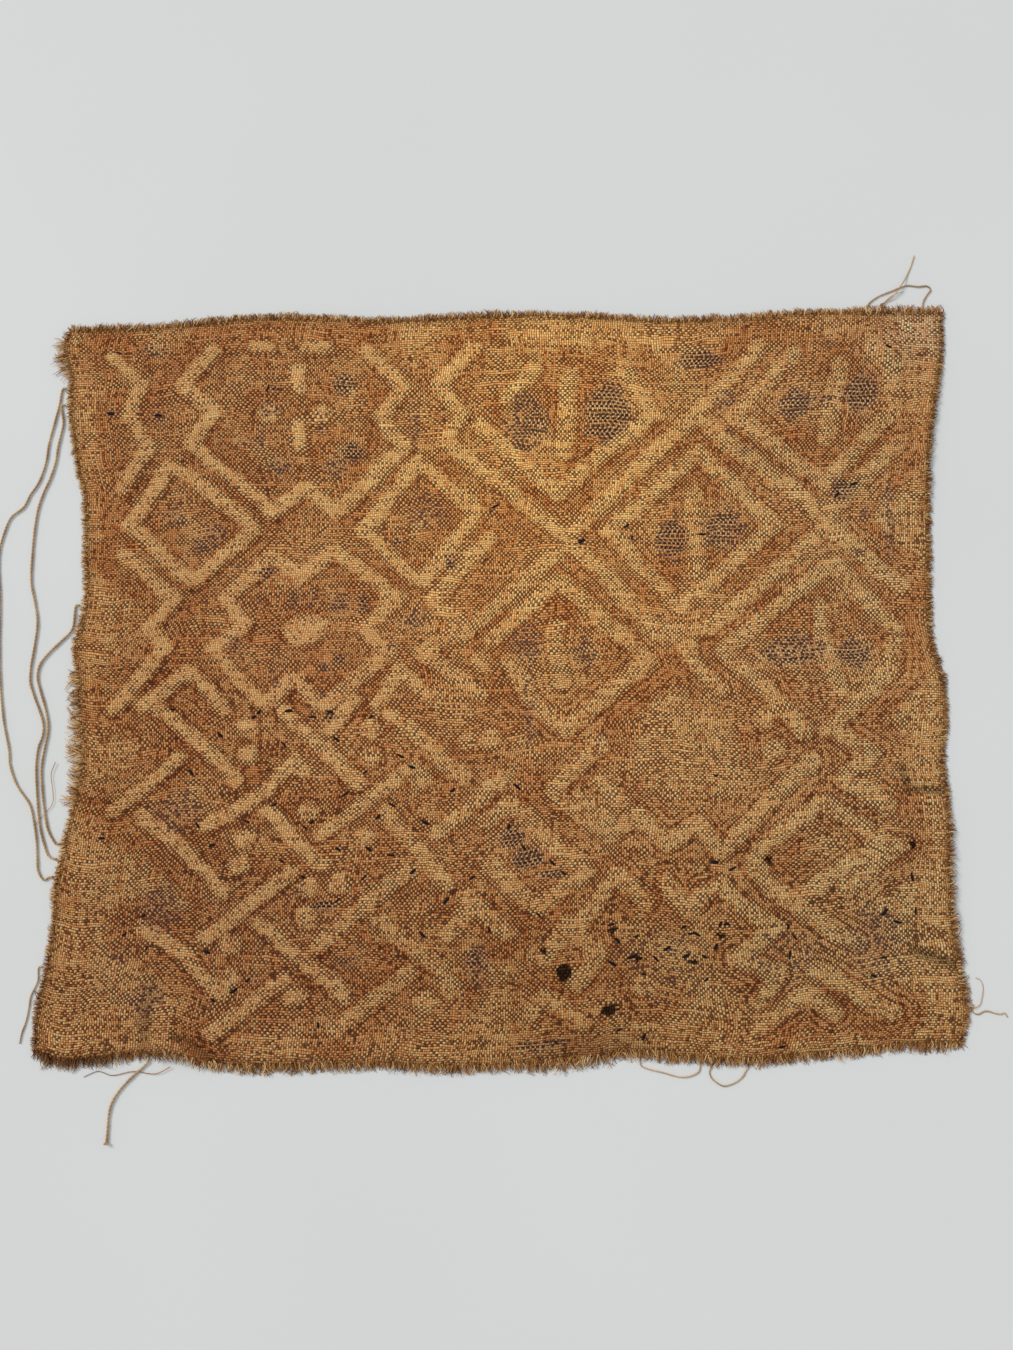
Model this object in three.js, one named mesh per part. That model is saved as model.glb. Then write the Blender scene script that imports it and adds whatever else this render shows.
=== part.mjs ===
// A panel of hand-woven raffia cloth, lying face down and flat, with frayed edges and loose yarns.
// The cut-pile pattern on its other side pushes through the weave as low bands, which are raised here.
// Millimetres, +Z up. +X runs along the long edge and +Y towards the top edge. The underside lies at Z = 0.
import * as THREE from "three";

// Driving sizes in millimetres
const CENTRE = { x: -2.77, y: -2.34 }; // middle of the cloth and its fringe, which becomes the origin
const SHEET = { thickness: 2.2, columns: 64, rows: 60 };
const REST_FACE = { halfWidth: 110, halfDepth: 80 }; // a plain flat patch in the middle of the underside
const BAND = { height: 0.8 };
const SWELL = { height: 0.2, across: 7, down: 5, skew: 4, start: 2 }; // the whole sheet is a little uneven
const FRINGE = { gap: 0.4, strip: 2.0, thickness: 1.6, tip: 0.5, flare: 1.4, uneven: 0.3 };
const YARN_ROOM = { least: 2.6, perReach: 0.4 }; // locks nearer than this to a yarn are left out
const YARN = { sides: 8, seat: 0.35, seatPerRadius: 0.35, clear: 0.1, straight: 2.2, diametersPerStep: 3,
  mostSteps: 70 };
const SAMPLES = { edge: 600, yarn: 120 };

// The four edges of the woven cloth, each a smooth curve through measured points
const EDGE_POINTS = {
  top: [[-292, 231], [-272, 232], [-225, 234], [-179, 239], [-132, 240], [-85, 238], [-38, 240],
    [9, 242], [56, 241], [103, 238], [150, 239], [197, 243], [244, 244], [291, 244]],
  bottom: [[-297, -238], [-278, -243], [-256, -241], [-212, -238], [-190, -244], [-168, -246], [-124, -246],
    [-80, -245], [-36, -247], [8, -245], [53, -241], [75, -238], [119, -241], [152, -243], [185, -240],
    [229, -236], [251, -233], [286, -233]],
  left: [[-292, 231], [-295, 218], [-290, 197], [-290, 177], [-283, 136], [-278, 116], [-276, 76], [-275, 56],
    [-277, 36], [-281, 16], [-278, -3], [-276, -29], [-274, -58], [-277, -81], [-283, -109], [-288, -138],
    [-288, -157], [-291, -185], [-296, -212], [-297, -238]],
  right: [[291, 244], [290, 218], [287, 197], [281, 163], [278, 136], [277, 96], [276, 49], [276, 26], [282, 0],
    [284, -23], [281, -55], [283, -90], [282, -125], [283, -157], [286, -182], [289, -203], [290, -216],
    [286, -233]],
};
const OUTWARD = { top: [0, 1], bottom: [0, -1], left: [-1, 0], right: [1, 0] };

// The pattern is charted on a grid of 74 columns and 69 rows, counted from the top left corner.
// A path is a list of column,row turns, each counted to the nearest half square. Crest and foot are a band's
// half widths in grid squares.
const CHART = { columns: 74, rows: 69, crest: 0.42, foot: 1.2 };
const BANDS = [
  { motif: "left zigzag", path: "4,3 6,6 5,9 6.5,12 3.5,16" },
  { motif: "tall panel", path: "12.5,3 9.5,6 12.5,9 10,12 16.5,19 19.5,16.5" },
  { motif: "tall panel", path: "19.5,16.5 22,19 28.5,12.5 26.5,9.5 28.5,7 25.5,3" },
  { motif: "tall panel cross", path: "19.5,5 19.5,7" },
  { motif: "tall panel cross", path: "19.5,10.5 19.5,12.5" },
  { motif: "tall panel cross", path: "16,3 17,3" },
  { motif: "tall panel cross", path: "20.5,3 22,3" },
  { motif: "middle zigzag", path: "34.5,3 31.5,6.5 33.5,9.5 32,12 42,21.5" },
  { motif: "diamond", path: "8,14 15,20.5 9.5,25.5 4,19.5 8,14" },
  { motif: "diamond", path: "29.5,14 34.5,19 29.5,25.5 24.5,20.5 29.5,14" },
  { motif: "notched panel", path: "16.5,23 12.5,27 14.5,29.5 12,32 16,37 18.5,34.5" },
  { motif: "notched panel", path: "18.5,34.5 21,37 27,32 25,29.5 27.5,27" },
  { motif: "notched panel", path: "27.5,27 22,22.5 19,25 16.5,23" },
  { motif: "panel heart", path: "19,29.5 21,29.5" },
  { motif: "lower zigzag", path: "3.5,22.5 8,27 6,29.5 8,31.5 3,37" },
  { motif: "inner zigzag", path: "35.5,21.5 30.5,27 33.5,29.5 30,32 34.5,36" },
  { motif: "chevron", path: "5.5,37 9.5,34 12.5,37.5" },
  { motif: "chevron", path: "25.5,37 28,33.5 30.5,36.5" },
  { motif: "chevron", path: "17,43.5 18.5,42 19.5,43" },
  { motif: "first nest", path: "35,10.5 41.5,17.5 50,9.5 47,5" },
  { motif: "first nest", path: "37.5,8 39.5,5.5" },
  { motif: "first nest heart", path: "42.5,6 42.5,13.5" },
  { motif: "second nest", path: "61.5,4 57,9.5 65,17 70.5,10 70,5.5 68,3" },
  { motif: "second nest border", path: "58.5,3 53.5,9.5" },
  { motif: "second nest border", path: "65,20 71.5,13" },
  { motif: "second nest heart", path: "65.5,5 65,12.5" },
  { motif: "third nest border", path: "42.5,21.5 53.5,9.5 65,20" },
  { motif: "third nest border", path: "43,22.5 50.5,30.5 54.5,30 64,22" },
  { motif: "third nest", path: "54,13 60.5,20.5 52,28 46,21 54,13" },
  { motif: "third nest heart", path: "53.5,17 53.5,24.5" },
  { motif: "fourth nest border", path: "41.5,23 36.5,27.5 33.5,30.5" },
  { motif: "fourth nest", path: "36,31 41.5,25.5 49.5,33 41.5,39.5 38.5,36.5 37.5,33" },
  { motif: "fourth nest heart", path: "41.5,30 41.5,35" },
  { motif: "fifth nest border", path: "53,30.5 53,33 55,35.5" },
  { motif: "fifth nest border", path: "65,20.5 71.5,27" },
  { motif: "fifth nest", path: "62,40 56,32 65.5,24.5 71,31 70,34.5 64,40" },
  { motif: "fifth nest heart", path: "64.5,28.5 65,36.5" },
  { motif: "right zigzag", path: "64.5,40 68,42.5 65.5,44.5 69,47.5" },
  { motif: "long zigzag", path: "43.5,42 40.5,45 45.5,49.5 48,47.5 50.5,50 53,48 55,50.5 59.5,45.5 61.5,44" },
  { motif: "long zigzag heart", path: "44.5,44.5 46.5,46.5" },
  { motif: "long zigzag heart", path: "43,45.5 45.5,48" },
  { motif: "sixth nest", path: "58,50.5 63.5,46.5 68.5,50.5 61,55.5 57.5,51.5" },
  { motif: "sixth nest border", path: "65.5,54.5 70,51" },
  { motif: "sixth nest border", path: "61,55.5 66,59.5" },
  { motif: "small nest", path: "35,47.5 37,46 44,52.5 40,55.5 36,51.5" },
  { motif: "lower chevron", path: "43.5,57 46.5,53 49,55.5" },
  { motif: "lower chevron", path: "40.5,60 42.5,57 45,60 43,62.5" },
  { motif: "lower chevron", path: "39.5,64.5 40.5,63 43.5,66" },
  { motif: "valley chevron", path: "50.5,53.5 52.5,56 54,54" },
  { motif: "corner chevron", path: "55,53.5 59.5,57.5 56,60 59.5,61.5 57.5,64" },
  { motif: "corner chevron", path: "57.5,66 61.5,63.5 63.5,65.5" },
  { motif: "corner band", path: "62.5,61.5 68,66" },
  { motif: "lower band", path: "34,54 37.5,57.5" },
  { motif: "lower band", path: "32.5,57.5 34.5,55" },
];

// The woven lattice at the lower left: bars that fall or rise to the right, and the spots between them
const FALLING_BARS = "7,37.5,13.5,44 17.5,37.5,24,44 26.5,37.5,33,43.5 6,47,14,54 16.5,46.5,22,51.5 "
  + "26.5,46.5,32.5,53 7.5,57.5,14.5,63 17,56.5,24.5,63 27,56.5,32,60.5";
const RISING_BARS = "3.5,46.5,8.5,42 11.5,48.5,16.5,44.5 21.5,48.5,28.5,42.5 31,48.5,36.5,43.5 "
  + "12.5,58.5,19.5,52 22,58.5,29,52 14,66.5,19.5,61.5 24,66,29.5,61 21.5,39,23.5,36.5";
const SPOTS = "14.5,39 14.5,41.5 25,39 25,41.5 20,46.5 29.5,43.5 15,49 15,51.5 25,49 23.5,53 21,53.5 21,56 "
  + "15,58.5 15,61.5 20.5,63 31,63.5 33,62 33.5,40 35,40 43,62 48.5,63 35,33 17,9.5 21.5,9.5 "
  + "62.5,43 59.5,41.5 44.5,41 58.5,38.5";

// Creases that show from a step away. A negative height is a furrow. Reach is a half width in grid squares.
const FOLDS = [
  { name: "right fold", path: "70.4,43.2 71,45 74,45.2", height: 1.5, reach: 1.1 },
  { name: "corner crease", path: "70.6,60.6 74,62", height: -0.5, reach: 1.2 },
  { name: "middle furrow", path: "38.3,33.5 38,41 38.6,45", height: -0.5, reach: 1.4 },
  { name: "bottom pucker", path: "9,68.6 13,68.6", height: 0.7, reach: 2.2 },
];

// Stretches of the edge that stand a little off the table
const LIFTS = [
  { edge: "right", from: 0.03, to: 0.34, height: 1.4 },
  { edge: "right", from: 0.62, to: 0.95, height: 2.2 },
  { edge: "bottom", from: 0.11, to: 0.21, height: 2.4 },
];

// The fringe: locks on each edge, and how far they reach past the strip that joins their roots
const FRINGES = [
  { edge: "top", locks: 62, reach: 3.4 },
  { edge: "bottom", locks: 70, reach: 5.4 },
  { edge: "left", locks: 38, reach: 2.0 },
  { edge: "right", locks: 46, reach: 2.6 },
];
const LONG_TUFTS = [
  { edge: "left", from: 0.49, to: 0.67, reach: 8.0 },
  { edge: "left", from: 0.02, to: 0.07, reach: 5.0 },
  { edge: "bottom", from: 0.52, to: 0.62, reach: 7.0 },
  { edge: "right", from: 0.7, to: 0.96, reach: 3.8 },
];

// Loose yarns. Leaves and returns give an edge and how far along it. A third number in a route is a lift in mm.
const YARNS = [
  {
    name: "yarn_left_outer", diameter: 1.4, leaves: ["left", 0.086], returns: ["left", 0.77],
    route: [[-297, 181], [-300, 167], [-303, 154], [-304.5, 141], [-309, 127], [-314, 119], [-318, 111],
      [-326, 104], [-330, 94], [-333, 79], [-331, 49], [-330, 16], [-328, -10], [-325, -31], [-321, -49],
      [-320, -58], [-315, -71], [-306, -84], [-303, -95], [-301, -106], [-300, -118], [-299, -126],
      [-295, -131.5]],
  },
  {
    name: "yarn_left_inner", diameter: 1.5, leaves: ["left", 0.11], returns: ["left", 0.745],
    route: [[-294, 168], [-295.5, 159], [-297, 151], [-298, 142], [-301, 131], [-305, 121], [-308, 112],
      [-310, 98], [-311, 80], [-311, 61], [-308, 47], [-306, 35], [-307, 20], [-309, 5], [-309, -5],
      [-306, -14], [-302, -24], [-299.5, -32], [-299.5, -39], [-302, -47], [-303, -58], [-302, -74],
      [-300.5, -88], [-298.5, -100], [-295.5, -110], [-293, -116]],
  },
  {
    name: "yarn_left_short", diameter: 1.5, leaves: ["left", 0.396], returns: ["left", 0.725],
    route: [[-283, 30], [-290, 22], [-297, 15], [-303, 7], [-304.5, -1], [-302, -11], [-299, -20],
      [-296.5, -31], [-296.5, -39], [-298, -48], [-299.5, -59], [-298.5, -74], [-296.5, -88], [-294, -99],
      [-291, -105]],
  },
  {
    name: "yarn_left_low", diameter: 1.0, leaves: ["left", 0.889],
    route: [[-296.7, -194.5], [-300.7, -204], [-301.7, -212], [-303, -219], [-305.5, -227], [-306.6, -233]],
  },
  {
    name: "yarn_bottom_knotted", diameter: 1.6, leaves: ["bottom", 0.124],
    route: [[-228, -247], [-235.3, -253.6], [-242.6, -261.5], [-247.3, -269.4], [-249, -277.3], [-249.3, -285],
      [-249.7, -293]],
  },
  {
    name: "yarn_bottom_loop", diameter: 0.9, leaves: ["bottom", 0.654], returns: ["bottom", 0.719],
    route: [[84.5, -246.5], [89, -248.6], [97.1, -250.5], [109.6, -253.6], [116.6, -252.6], [121, -250]],
  },
  {
    name: "yarn_bottom_hoop", diameter: 0.9, leaves: ["bottom", 0.731], returns: ["bottom", 0.77],
    route: [[127.5, -250.5], [128.7, -254], [132.8, -257.5], [136.5, -259], [144.1, -256.6], [148.6, -252.9],
      [150.4, -249.8]],
  },
  {
    name: "yarn_right_curl", diameter: 0.9, leaves: ["right", 0.949],
    route: [[294, -212.8], [296.3, -214.9], [298.8, -214.7], [301, -213.4], [303.9, -213.1], [307.9, -214.3],
      [311.7, -214.9], [314.5, -214.3], [316, -216.6]],
  },
  {
    name: "yarn_top_loop", diameter: 1.0, leaves: ["top", 0.917], returns: ["top", 0.98],
    route: [[248.2, 254.2], [257.7, 258.4], [264.6, 261.2], [269.3, 262.6], [276.7, 261.9], [282.7, 262.2],
      [284.9, 259.8], [282.5, 256.3], [279.7, 251.4]],
  },
  {
    name: "yarn_top_bare", diameter: 0.8, leaves: ["top", 0.931],
    route: [[254.9, 251.4, 0.2], [259.8, 255.4, 1.3], [263.9, 261.1, 2.2], [267.4, 266.1, 0.9], [269.6, 270.3],
      [271.8, 275.2], [274.7, 283.6]],
  },
];

const CLOTH = raffia("raffia weave", 0xa9773f, 0.85);
const FRAY = raffia("frayed raffia", 0x9c6a35, 0.9);
const TWINE = raffia("raffia yarn", 0xb08a5a, 0.8);

function raffia(name, color, roughness) {
  return new THREE.MeshStandardMaterial({ name, color, roughness, metalness: 0 });
}

// Outline of the cloth

const EDGES = Object.fromEntries(Object.entries(EDGE_POINTS).map(([name, points]) => {
  const curve = new THREE.SplineCurve(points.map(([x, y]) => new THREE.Vector2(x - CENTRE.x, y - CENTRE.y)));
  curve.arcLengthDivisions = SAMPLES.edge;
  return [name, curve];
}));

const CORNERS = {
  topLeft: EDGES.top.getPointAt(0), topRight: EDGES.top.getPointAt(1),
  bottomLeft: EDGES.bottom.getPointAt(0), bottomRight: EDGES.bottom.getPointAt(1),
};

// A Coons patch: s runs from the left edge to the right, t from the top edge to the bottom
function clothPoint(s, t) {
  const rails = EDGES.top.getPointAt(s).multiplyScalar(1 - t).addScaledVector(EDGES.bottom.getPointAt(s), t);
  rails.addScaledVector(EDGES.left.getPointAt(t), 1 - s).addScaledVector(EDGES.right.getPointAt(t), s);
  rails.addScaledVector(CORNERS.topLeft, -(1 - s) * (1 - t)).addScaledVector(CORNERS.topRight, -s * (1 - t));
  return rails.addScaledVector(CORNERS.bottomLeft, -(1 - s) * t).addScaledVector(CORNERS.bottomRight, -s * t);
}

function liftAt(edge, along) {
  let lift = 0;
  for (const row of LIFTS) {
    if (row.edge !== edge || along <= row.from || along >= row.to) continue;
    lift += row.height * Math.sin(Math.PI * (along - row.from) / (row.to - row.from)) ** 2;
  }
  return lift;
}

// Pattern and creases

function pathSegments(path) {
  const turns = path.split(" ").map((turn) => new THREE.Vector2(...turn.split(",").map(Number)));
  return turns.slice(1).map((turn, k) => [turns[k], turn]);
}

function barSegments(bars) {
  return bars.split(" ").map((bar) => {
    const [x0, y0, x1, y1] = bar.split(",").map(Number);
    return [new THREE.Vector2(x0, y0), new THREE.Vector2(x1, y1)];
  });
}

const BAND_SEGMENTS = [
  ...BANDS.flatMap((band) => pathSegments(band.path)),
  ...barSegments(FALLING_BARS),
  ...barSegments(RISING_BARS),
  ...SPOTS.split(" ").map((spot) => {
    const centre = new THREE.Vector2(...spot.split(",").map(Number));
    return [centre, centre];
  }),
];
const FOLD_SEGMENTS = FOLDS.map((fold) => ({ ...fold, segments: pathSegments(fold.path) }));

function distanceTo(segments, place) {
  let nearest = Infinity;
  for (const [start, end] of segments) {
    const run = end.clone().sub(start);
    const share = place.clone().sub(start).dot(run) / Math.max(run.lengthSq(), 1e-9);
    const foot = start.clone().addScaledVector(run, THREE.MathUtils.clamp(share, 0, 1));
    nearest = Math.min(nearest, place.distanceTo(foot));
  }
  return nearest;
}

function topHeight(s, t) {
  const place = new THREE.Vector2(s * CHART.columns, t * CHART.rows);
  const fade = 1 - THREE.MathUtils.smoothstep(distanceTo(BAND_SEGMENTS, place), CHART.crest, CHART.foot);
  let height = SHEET.thickness + BAND.height * fade;
  for (const fold of FOLD_SEGMENTS) {
    height += fold.height * (1 - THREE.MathUtils.smoothstep(distanceTo(fold.segments, place), 0, fold.reach));
  }
  const swell = Math.sin(SWELL.across * s + SWELL.start) * Math.cos(SWELL.down * t + SWELL.skew * s);
  return height + SWELL.height * swell;
}

// Closed solids from points and faces

class Solid {
  constructor() {
    this.positions = [];
    this.faces = [];
  }

  vertex(x, y, z) {
    this.positions.push(x, y, z);
    return this.positions.length / 3 - 1;
  }

  quad(a, b, c, d) {
    this.faces.push(a, b, c, a, c, d);
  }

  height(index) {
    return this.positions[3 * index + 2];
  }

  // Fills a flat outline, with holes if there are any; indices lists the vertices in the same order
  fill(outline, holes, indices, facingUp) {
    for (const [a, b, c] of THREE.ShapeUtils.triangulateShape(outline, holes)) {
      const points = [outline, ...holes].flat();
      const up = THREE.ShapeUtils.area([points[a], points[b], points[c]]) > 0;
      const order = up === facingUp ? [a, b, c] : [a, c, b];
      this.faces.push(...order.map((k) => indices[k]));
    }
  }

  geometry() {
    const geometry = new THREE.BufferGeometry();
    geometry.setAttribute("position", new THREE.Float32BufferAttribute(this.positions, 3));
    geometry.setIndex(this.faces);
    geometry.computeVertexNormals();
    return geometry;
  }
}

function named(name, geometry, material) {
  const mesh = new THREE.Mesh(geometry, material);
  mesh.name = name;
  return mesh;
}

// The rim of a grid, anticlockwise from above: down the left, along the bottom, up the right and back
function rim(first, lastColumn, lastRow) {
  const loop = [];
  for (let j = first; j < lastRow; j += 1) loop.push([first, j]);
  for (let i = first; i < lastColumn; i += 1) loop.push([i, lastRow]);
  for (let j = lastRow; j > first; j -= 1) loop.push([lastColumn, j]);
  for (let i = lastColumn; i > first; i -= 1) loop.push([i, first]);
  return loop;
}

function edgeLift(i, j) {
  const { columns, rows } = SHEET;
  if (i === 0) return liftAt("left", j / rows);
  if (i === columns) return liftAt("right", j / rows);
  if (j === 0) return liftAt("top", i / columns);
  return j === rows ? liftAt("bottom", i / columns) : 0;
}

function makeCloth() {
  const { columns, rows } = SHEET;
  const solid = new Solid();
  const top = [];
  for (let i = 0; i <= columns; i += 1) {
    top.push([]);
    for (let j = 0; j <= rows; j += 1) {
      const place = clothPoint(i / columns, j / rows);
      top[i].push(solid.vertex(place.x, place.y, topHeight(i / columns, j / rows) + edgeLift(i, j)));
    }
  }
  for (let i = 0; i < columns; i += 1) {
    for (let j = 0; j < rows; j += 1) {
      const [a, b, c, d] = [top[i][j], top[i][j + 1], top[i + 1][j + 1], top[i + 1][j]];
      const ridgeRises = solid.height(b) + solid.height(d) > solid.height(a) + solid.height(c);
      if (ridgeRises) solid.quad(b, c, d, a);
      else solid.quad(a, b, c, d);
    }
  }
  const under = new Map();
  const underVertex = ([i, j]) => {
    const key = `${i},${j}`;
    if (!under.has(key)) {
      const place = clothPoint(i / columns, j / rows);
      under.set(key, solid.vertex(place.x, place.y, edgeLift(i, j)));
    }
    return under.get(key);
  };
  for (let i = 0; i < columns; i += 1) {
    for (let j = 0; j < rows; j += 1) {
      if (i > 0 && j > 0 && i < columns - 1 && j < rows - 1) continue;
      const corners = [[i, j], [i + 1, j], [i + 1, j + 1], [i, j + 1]].map(underVertex);
      solid.quad(...corners);
    }
  }
  const outer = rim(0, columns, rows);
  outer.forEach((place, k) => {
    const next = outer[(k + 1) % outer.length];
    solid.quad(underVertex(place), underVertex(next), top[next[0]][next[1]], top[place[0]][place[1]]);
  });
  const inner = rim(1, columns - 1, rows - 1);
  const { halfWidth: w, halfDepth: d } = REST_FACE;
  const patch = [[-w, -d], [-w, d], [w, d], [w, -d]].map(([x, y]) => new THREE.Vector2(x, y));
  const patchVertices = patch.map((corner) => solid.vertex(corner.x, corner.y, 0));
  const innerPoints = inner.map(([i, j]) => clothPoint(i / columns, j / rows));
  solid.fill(innerPoints, [patch], [...inner.map(underVertex), ...patchVertices], false);
  solid.quad(...patchVertices);
  return named("cloth", solid.geometry(), CLOTH);
}

// Loose yarns

function seatPoint([edge, along], radius) {
  const point = EDGES[edge].getPointAt(along);
  const [nx, ny] = OUTWARD[edge];
  const out = FRINGE.gap + FRINGE.strip + YARN.seat + YARN.seatPerRadius * radius;
  const height = radius + YARN.clear + liftAt(edge, along);
  const near = new THREE.Vector3(point.x + nx * out, point.y + ny * out, height);
  const away = new THREE.Vector3(near.x + nx * YARN.straight, near.y + ny * YARN.straight, near.z);
  return [near, away];
}

function yarnCurve({ diameter, leaves, returns, route }) {
  const radius = diameter / 2;
  const points = seatPoint(leaves, radius);
  for (const [x, y, lift = 0] of route) {
    points.push(new THREE.Vector3(x - CENTRE.x, y - CENTRE.y, radius + YARN.clear + lift));
  }
  if (returns) points.push(...seatPoint(returns, radius).reverse());
  return new THREE.CatmullRomCurve3(points, false, "centripetal");
}

function makeYarn(yarn) {
  const curve = yarnCurve(yarn);
  const corners = Array.from({ length: YARN.sides }, (_, k) => {
    const turn = 2 * Math.PI * (k + 0.5) / YARN.sides;
    return new THREE.Vector2(Math.cos(turn), Math.sin(turn)).multiplyScalar(yarn.diameter / 2);
  });
  const needed = Math.ceil(curve.getLength() / (YARN.diametersPerStep * yarn.diameter));
  const steps = Math.min(YARN.mostSteps, needed);
  const options = { steps, extrudePath: curve, bevelEnabled: false };
  return named(yarn.name, new THREE.ExtrudeGeometry(new THREE.Shape(corners), options), TWINE);
}

const YARN_PLACES = YARNS.flatMap((yarn) => yarnCurve(yarn).getSpacedPoints(SAMPLES.yarn));

// Frayed edges

// A repeatable number between -1 and 1 for each lock
function unevenness(k, seed) {
  const wave = Math.sin(12.9898 * (k + 1) + 78.233 * seed) * 43758.5453;
  return 2 * (wave - Math.floor(wave)) - 1;
}

function lockReach(edge, along, reach, k) {
  const tuft = LONG_TUFTS.find((row) => row.edge === edge && along > row.from && along < row.to);
  return (tuft ? tuft.reach : reach) * (1 + FRINGE.uneven * unevenness(k, 2));
}

function makeFringe({ edge, locks, reach }) {
  const [nx, ny] = OUTWARD[edge];
  const steps = nx === 0 ? SHEET.columns : SHEET.rows;
  const place = (along, out, shift, low, high) => {
    const point = EDGES[edge].getPointAt(THREE.MathUtils.clamp(along, 0, 1));
    const lift = liftAt(edge, along);
    return { x: point.x + nx * out + Math.abs(ny) * shift, y: point.y + ny * out + Math.abs(nx) * shift,
      low: low + lift, high: high + lift };
  };
  const outline = [];
  for (let k = 0; k <= steps; k += 1) outline.push(place(k / steps, FRINGE.gap, 0, 0, FRINGE.thickness));
  const front = FRINGE.gap + FRINGE.strip;
  for (let k = locks; k >= 0; k -= 1) {
    outline.push(place(k / locks, front, 0, 0, FRINGE.thickness));
    if (k === 0) break;
    const along = (k - 0.5) / locks;
    const out = front + lockReach(edge, along, reach, k);
    const tip = place(along, out, FRINGE.flare * unevenness(k, 5), 0, FRINGE.tip);
    const crowded = YARN_PLACES.some((yarn) => {
      const beside = new THREE.Vector2(yarn.x - tip.x, yarn.y - tip.y).length();
      return beside < YARN_ROOM.least + YARN_ROOM.perReach * (out - front);
    });
    if (!crowded) outline.push(tip);
  }
  if (THREE.ShapeUtils.isClockWise(outline)) outline.reverse();
  const solid = new Solid();
  const low = outline.map((point) => solid.vertex(point.x, point.y, point.low));
  const high = outline.map((point) => solid.vertex(point.x, point.y, point.high));
  const flat = outline.map((point) => new THREE.Vector2(point.x, point.y));
  solid.fill(flat, [], low, false);
  solid.fill(flat, [], high, true);
  outline.forEach((_, k) => {
    const next = (k + 1) % outline.length;
    solid.quad(low[k], low[next], high[next], high[k]);
  });
  return named(`fray_${edge}`, solid.geometry(), FRAY);
}

const part = new THREE.Group();
part.add(makeCloth(), ...FRINGES.map(makeFringe), ...YARNS.map(makeYarn));

export default part;
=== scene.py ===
# %% [markdown]
# # A kuba raffia cloth, lying face down
# The object is one hand-woven panel of raffia. Its cut-pile pattern is on the side that lies down, and on
# this side the pattern shows as low ridges, with dark dye coming through the weave. All four edges are
# frayed, and a few yarns have come loose. The part was made first as plain solids at real size. This
# lesson dresses those solids: each one is replaced by a finer piece with the same form in the same place,
# in metres.

# %% Load the plain part as a fixed frame
import math
import bmesh
import bpy
import numpy as np
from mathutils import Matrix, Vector


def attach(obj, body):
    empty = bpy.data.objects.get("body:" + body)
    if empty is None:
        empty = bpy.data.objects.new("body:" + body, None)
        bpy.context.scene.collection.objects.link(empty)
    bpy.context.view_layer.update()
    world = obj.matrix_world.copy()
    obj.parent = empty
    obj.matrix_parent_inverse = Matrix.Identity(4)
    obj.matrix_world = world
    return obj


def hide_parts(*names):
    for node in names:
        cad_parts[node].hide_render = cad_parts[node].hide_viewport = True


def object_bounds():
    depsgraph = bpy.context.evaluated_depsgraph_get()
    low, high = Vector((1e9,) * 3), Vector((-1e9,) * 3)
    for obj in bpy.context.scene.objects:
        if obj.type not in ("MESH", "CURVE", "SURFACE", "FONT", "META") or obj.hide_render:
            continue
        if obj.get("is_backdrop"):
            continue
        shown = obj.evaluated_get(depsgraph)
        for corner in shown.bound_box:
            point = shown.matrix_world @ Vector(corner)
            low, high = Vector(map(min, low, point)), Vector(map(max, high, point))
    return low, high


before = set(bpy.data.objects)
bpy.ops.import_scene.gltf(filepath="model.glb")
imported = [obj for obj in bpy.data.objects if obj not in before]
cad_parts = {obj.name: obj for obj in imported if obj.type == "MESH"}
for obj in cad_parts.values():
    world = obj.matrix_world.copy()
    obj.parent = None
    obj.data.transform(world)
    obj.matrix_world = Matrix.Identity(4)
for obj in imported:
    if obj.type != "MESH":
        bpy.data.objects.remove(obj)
CAD_BOX = [list(corner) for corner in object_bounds()]
MM = 0.001
print("plain nodes:", len(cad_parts))

# %% Two small helpers
def rows_of(text):
    """Rows of numbers in a text: "1,2 3,4" is read as (1, 2) and (3, 4)."""
    return [tuple(map(float, row.split(","))) for row in text.split()]


def put_in_scene(name, data):
    """A new object in the scene, at the origin."""
    thing = bpy.data.objects.new(name, data)
    bpy.context.collection.objects.link(thing)
    return thing

# %% [markdown]
# ## The camera
# The cloth was seen almost straight from above, by a hand-held camera that leaned a little. A camera here
# could be placed by eye, but its place follows from three facts instead: how far it was, how far it
# leaned, and which point of the cloth was in the middle of the picture. A 36 mm sensor side stands for the
# tall side.

# %% Place the camera
CENTRE = (-2.77 * MM, -2.34 * MM)  # the part's middle, counted from the point that the camera looked at
CAMERA = {"distance": 0.663, "lean": math.radians(5.0), "lens": 27.2, "sensor": 36.0}
aim = Vector((-CENTRE[0], -CENTRE[1], 0.0))
camera = put_in_scene("camera", bpy.data.cameras.new("camera"))
back = Vector((0.0, -math.sin(CAMERA["lean"]), math.cos(CAMERA["lean"])))
camera.location = aim + CAMERA["distance"] * back
camera.rotation_euler = (CAMERA["lean"], 0.0, 0.0)
camera.data.sensor_width = CAMERA["sensor"]
camera.data.lens = CAMERA["lens"]
camera.data.clip_start = 0.01
bpy.context.scene.camera = camera
print("camera at", [round(x, 4) for x in camera.location])

# %% [markdown]
# ## The outline
# No edge of a hand-woven panel is straight. Each edge here is a smooth curve through measured points, and
# the same four curves carry the cloth, its fringe and the loose yarns. A Catmull-Rom spline is used,
# because it passes through its points. A share from 0 to 1 then gives a place by its distance along the
# edge.

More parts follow.
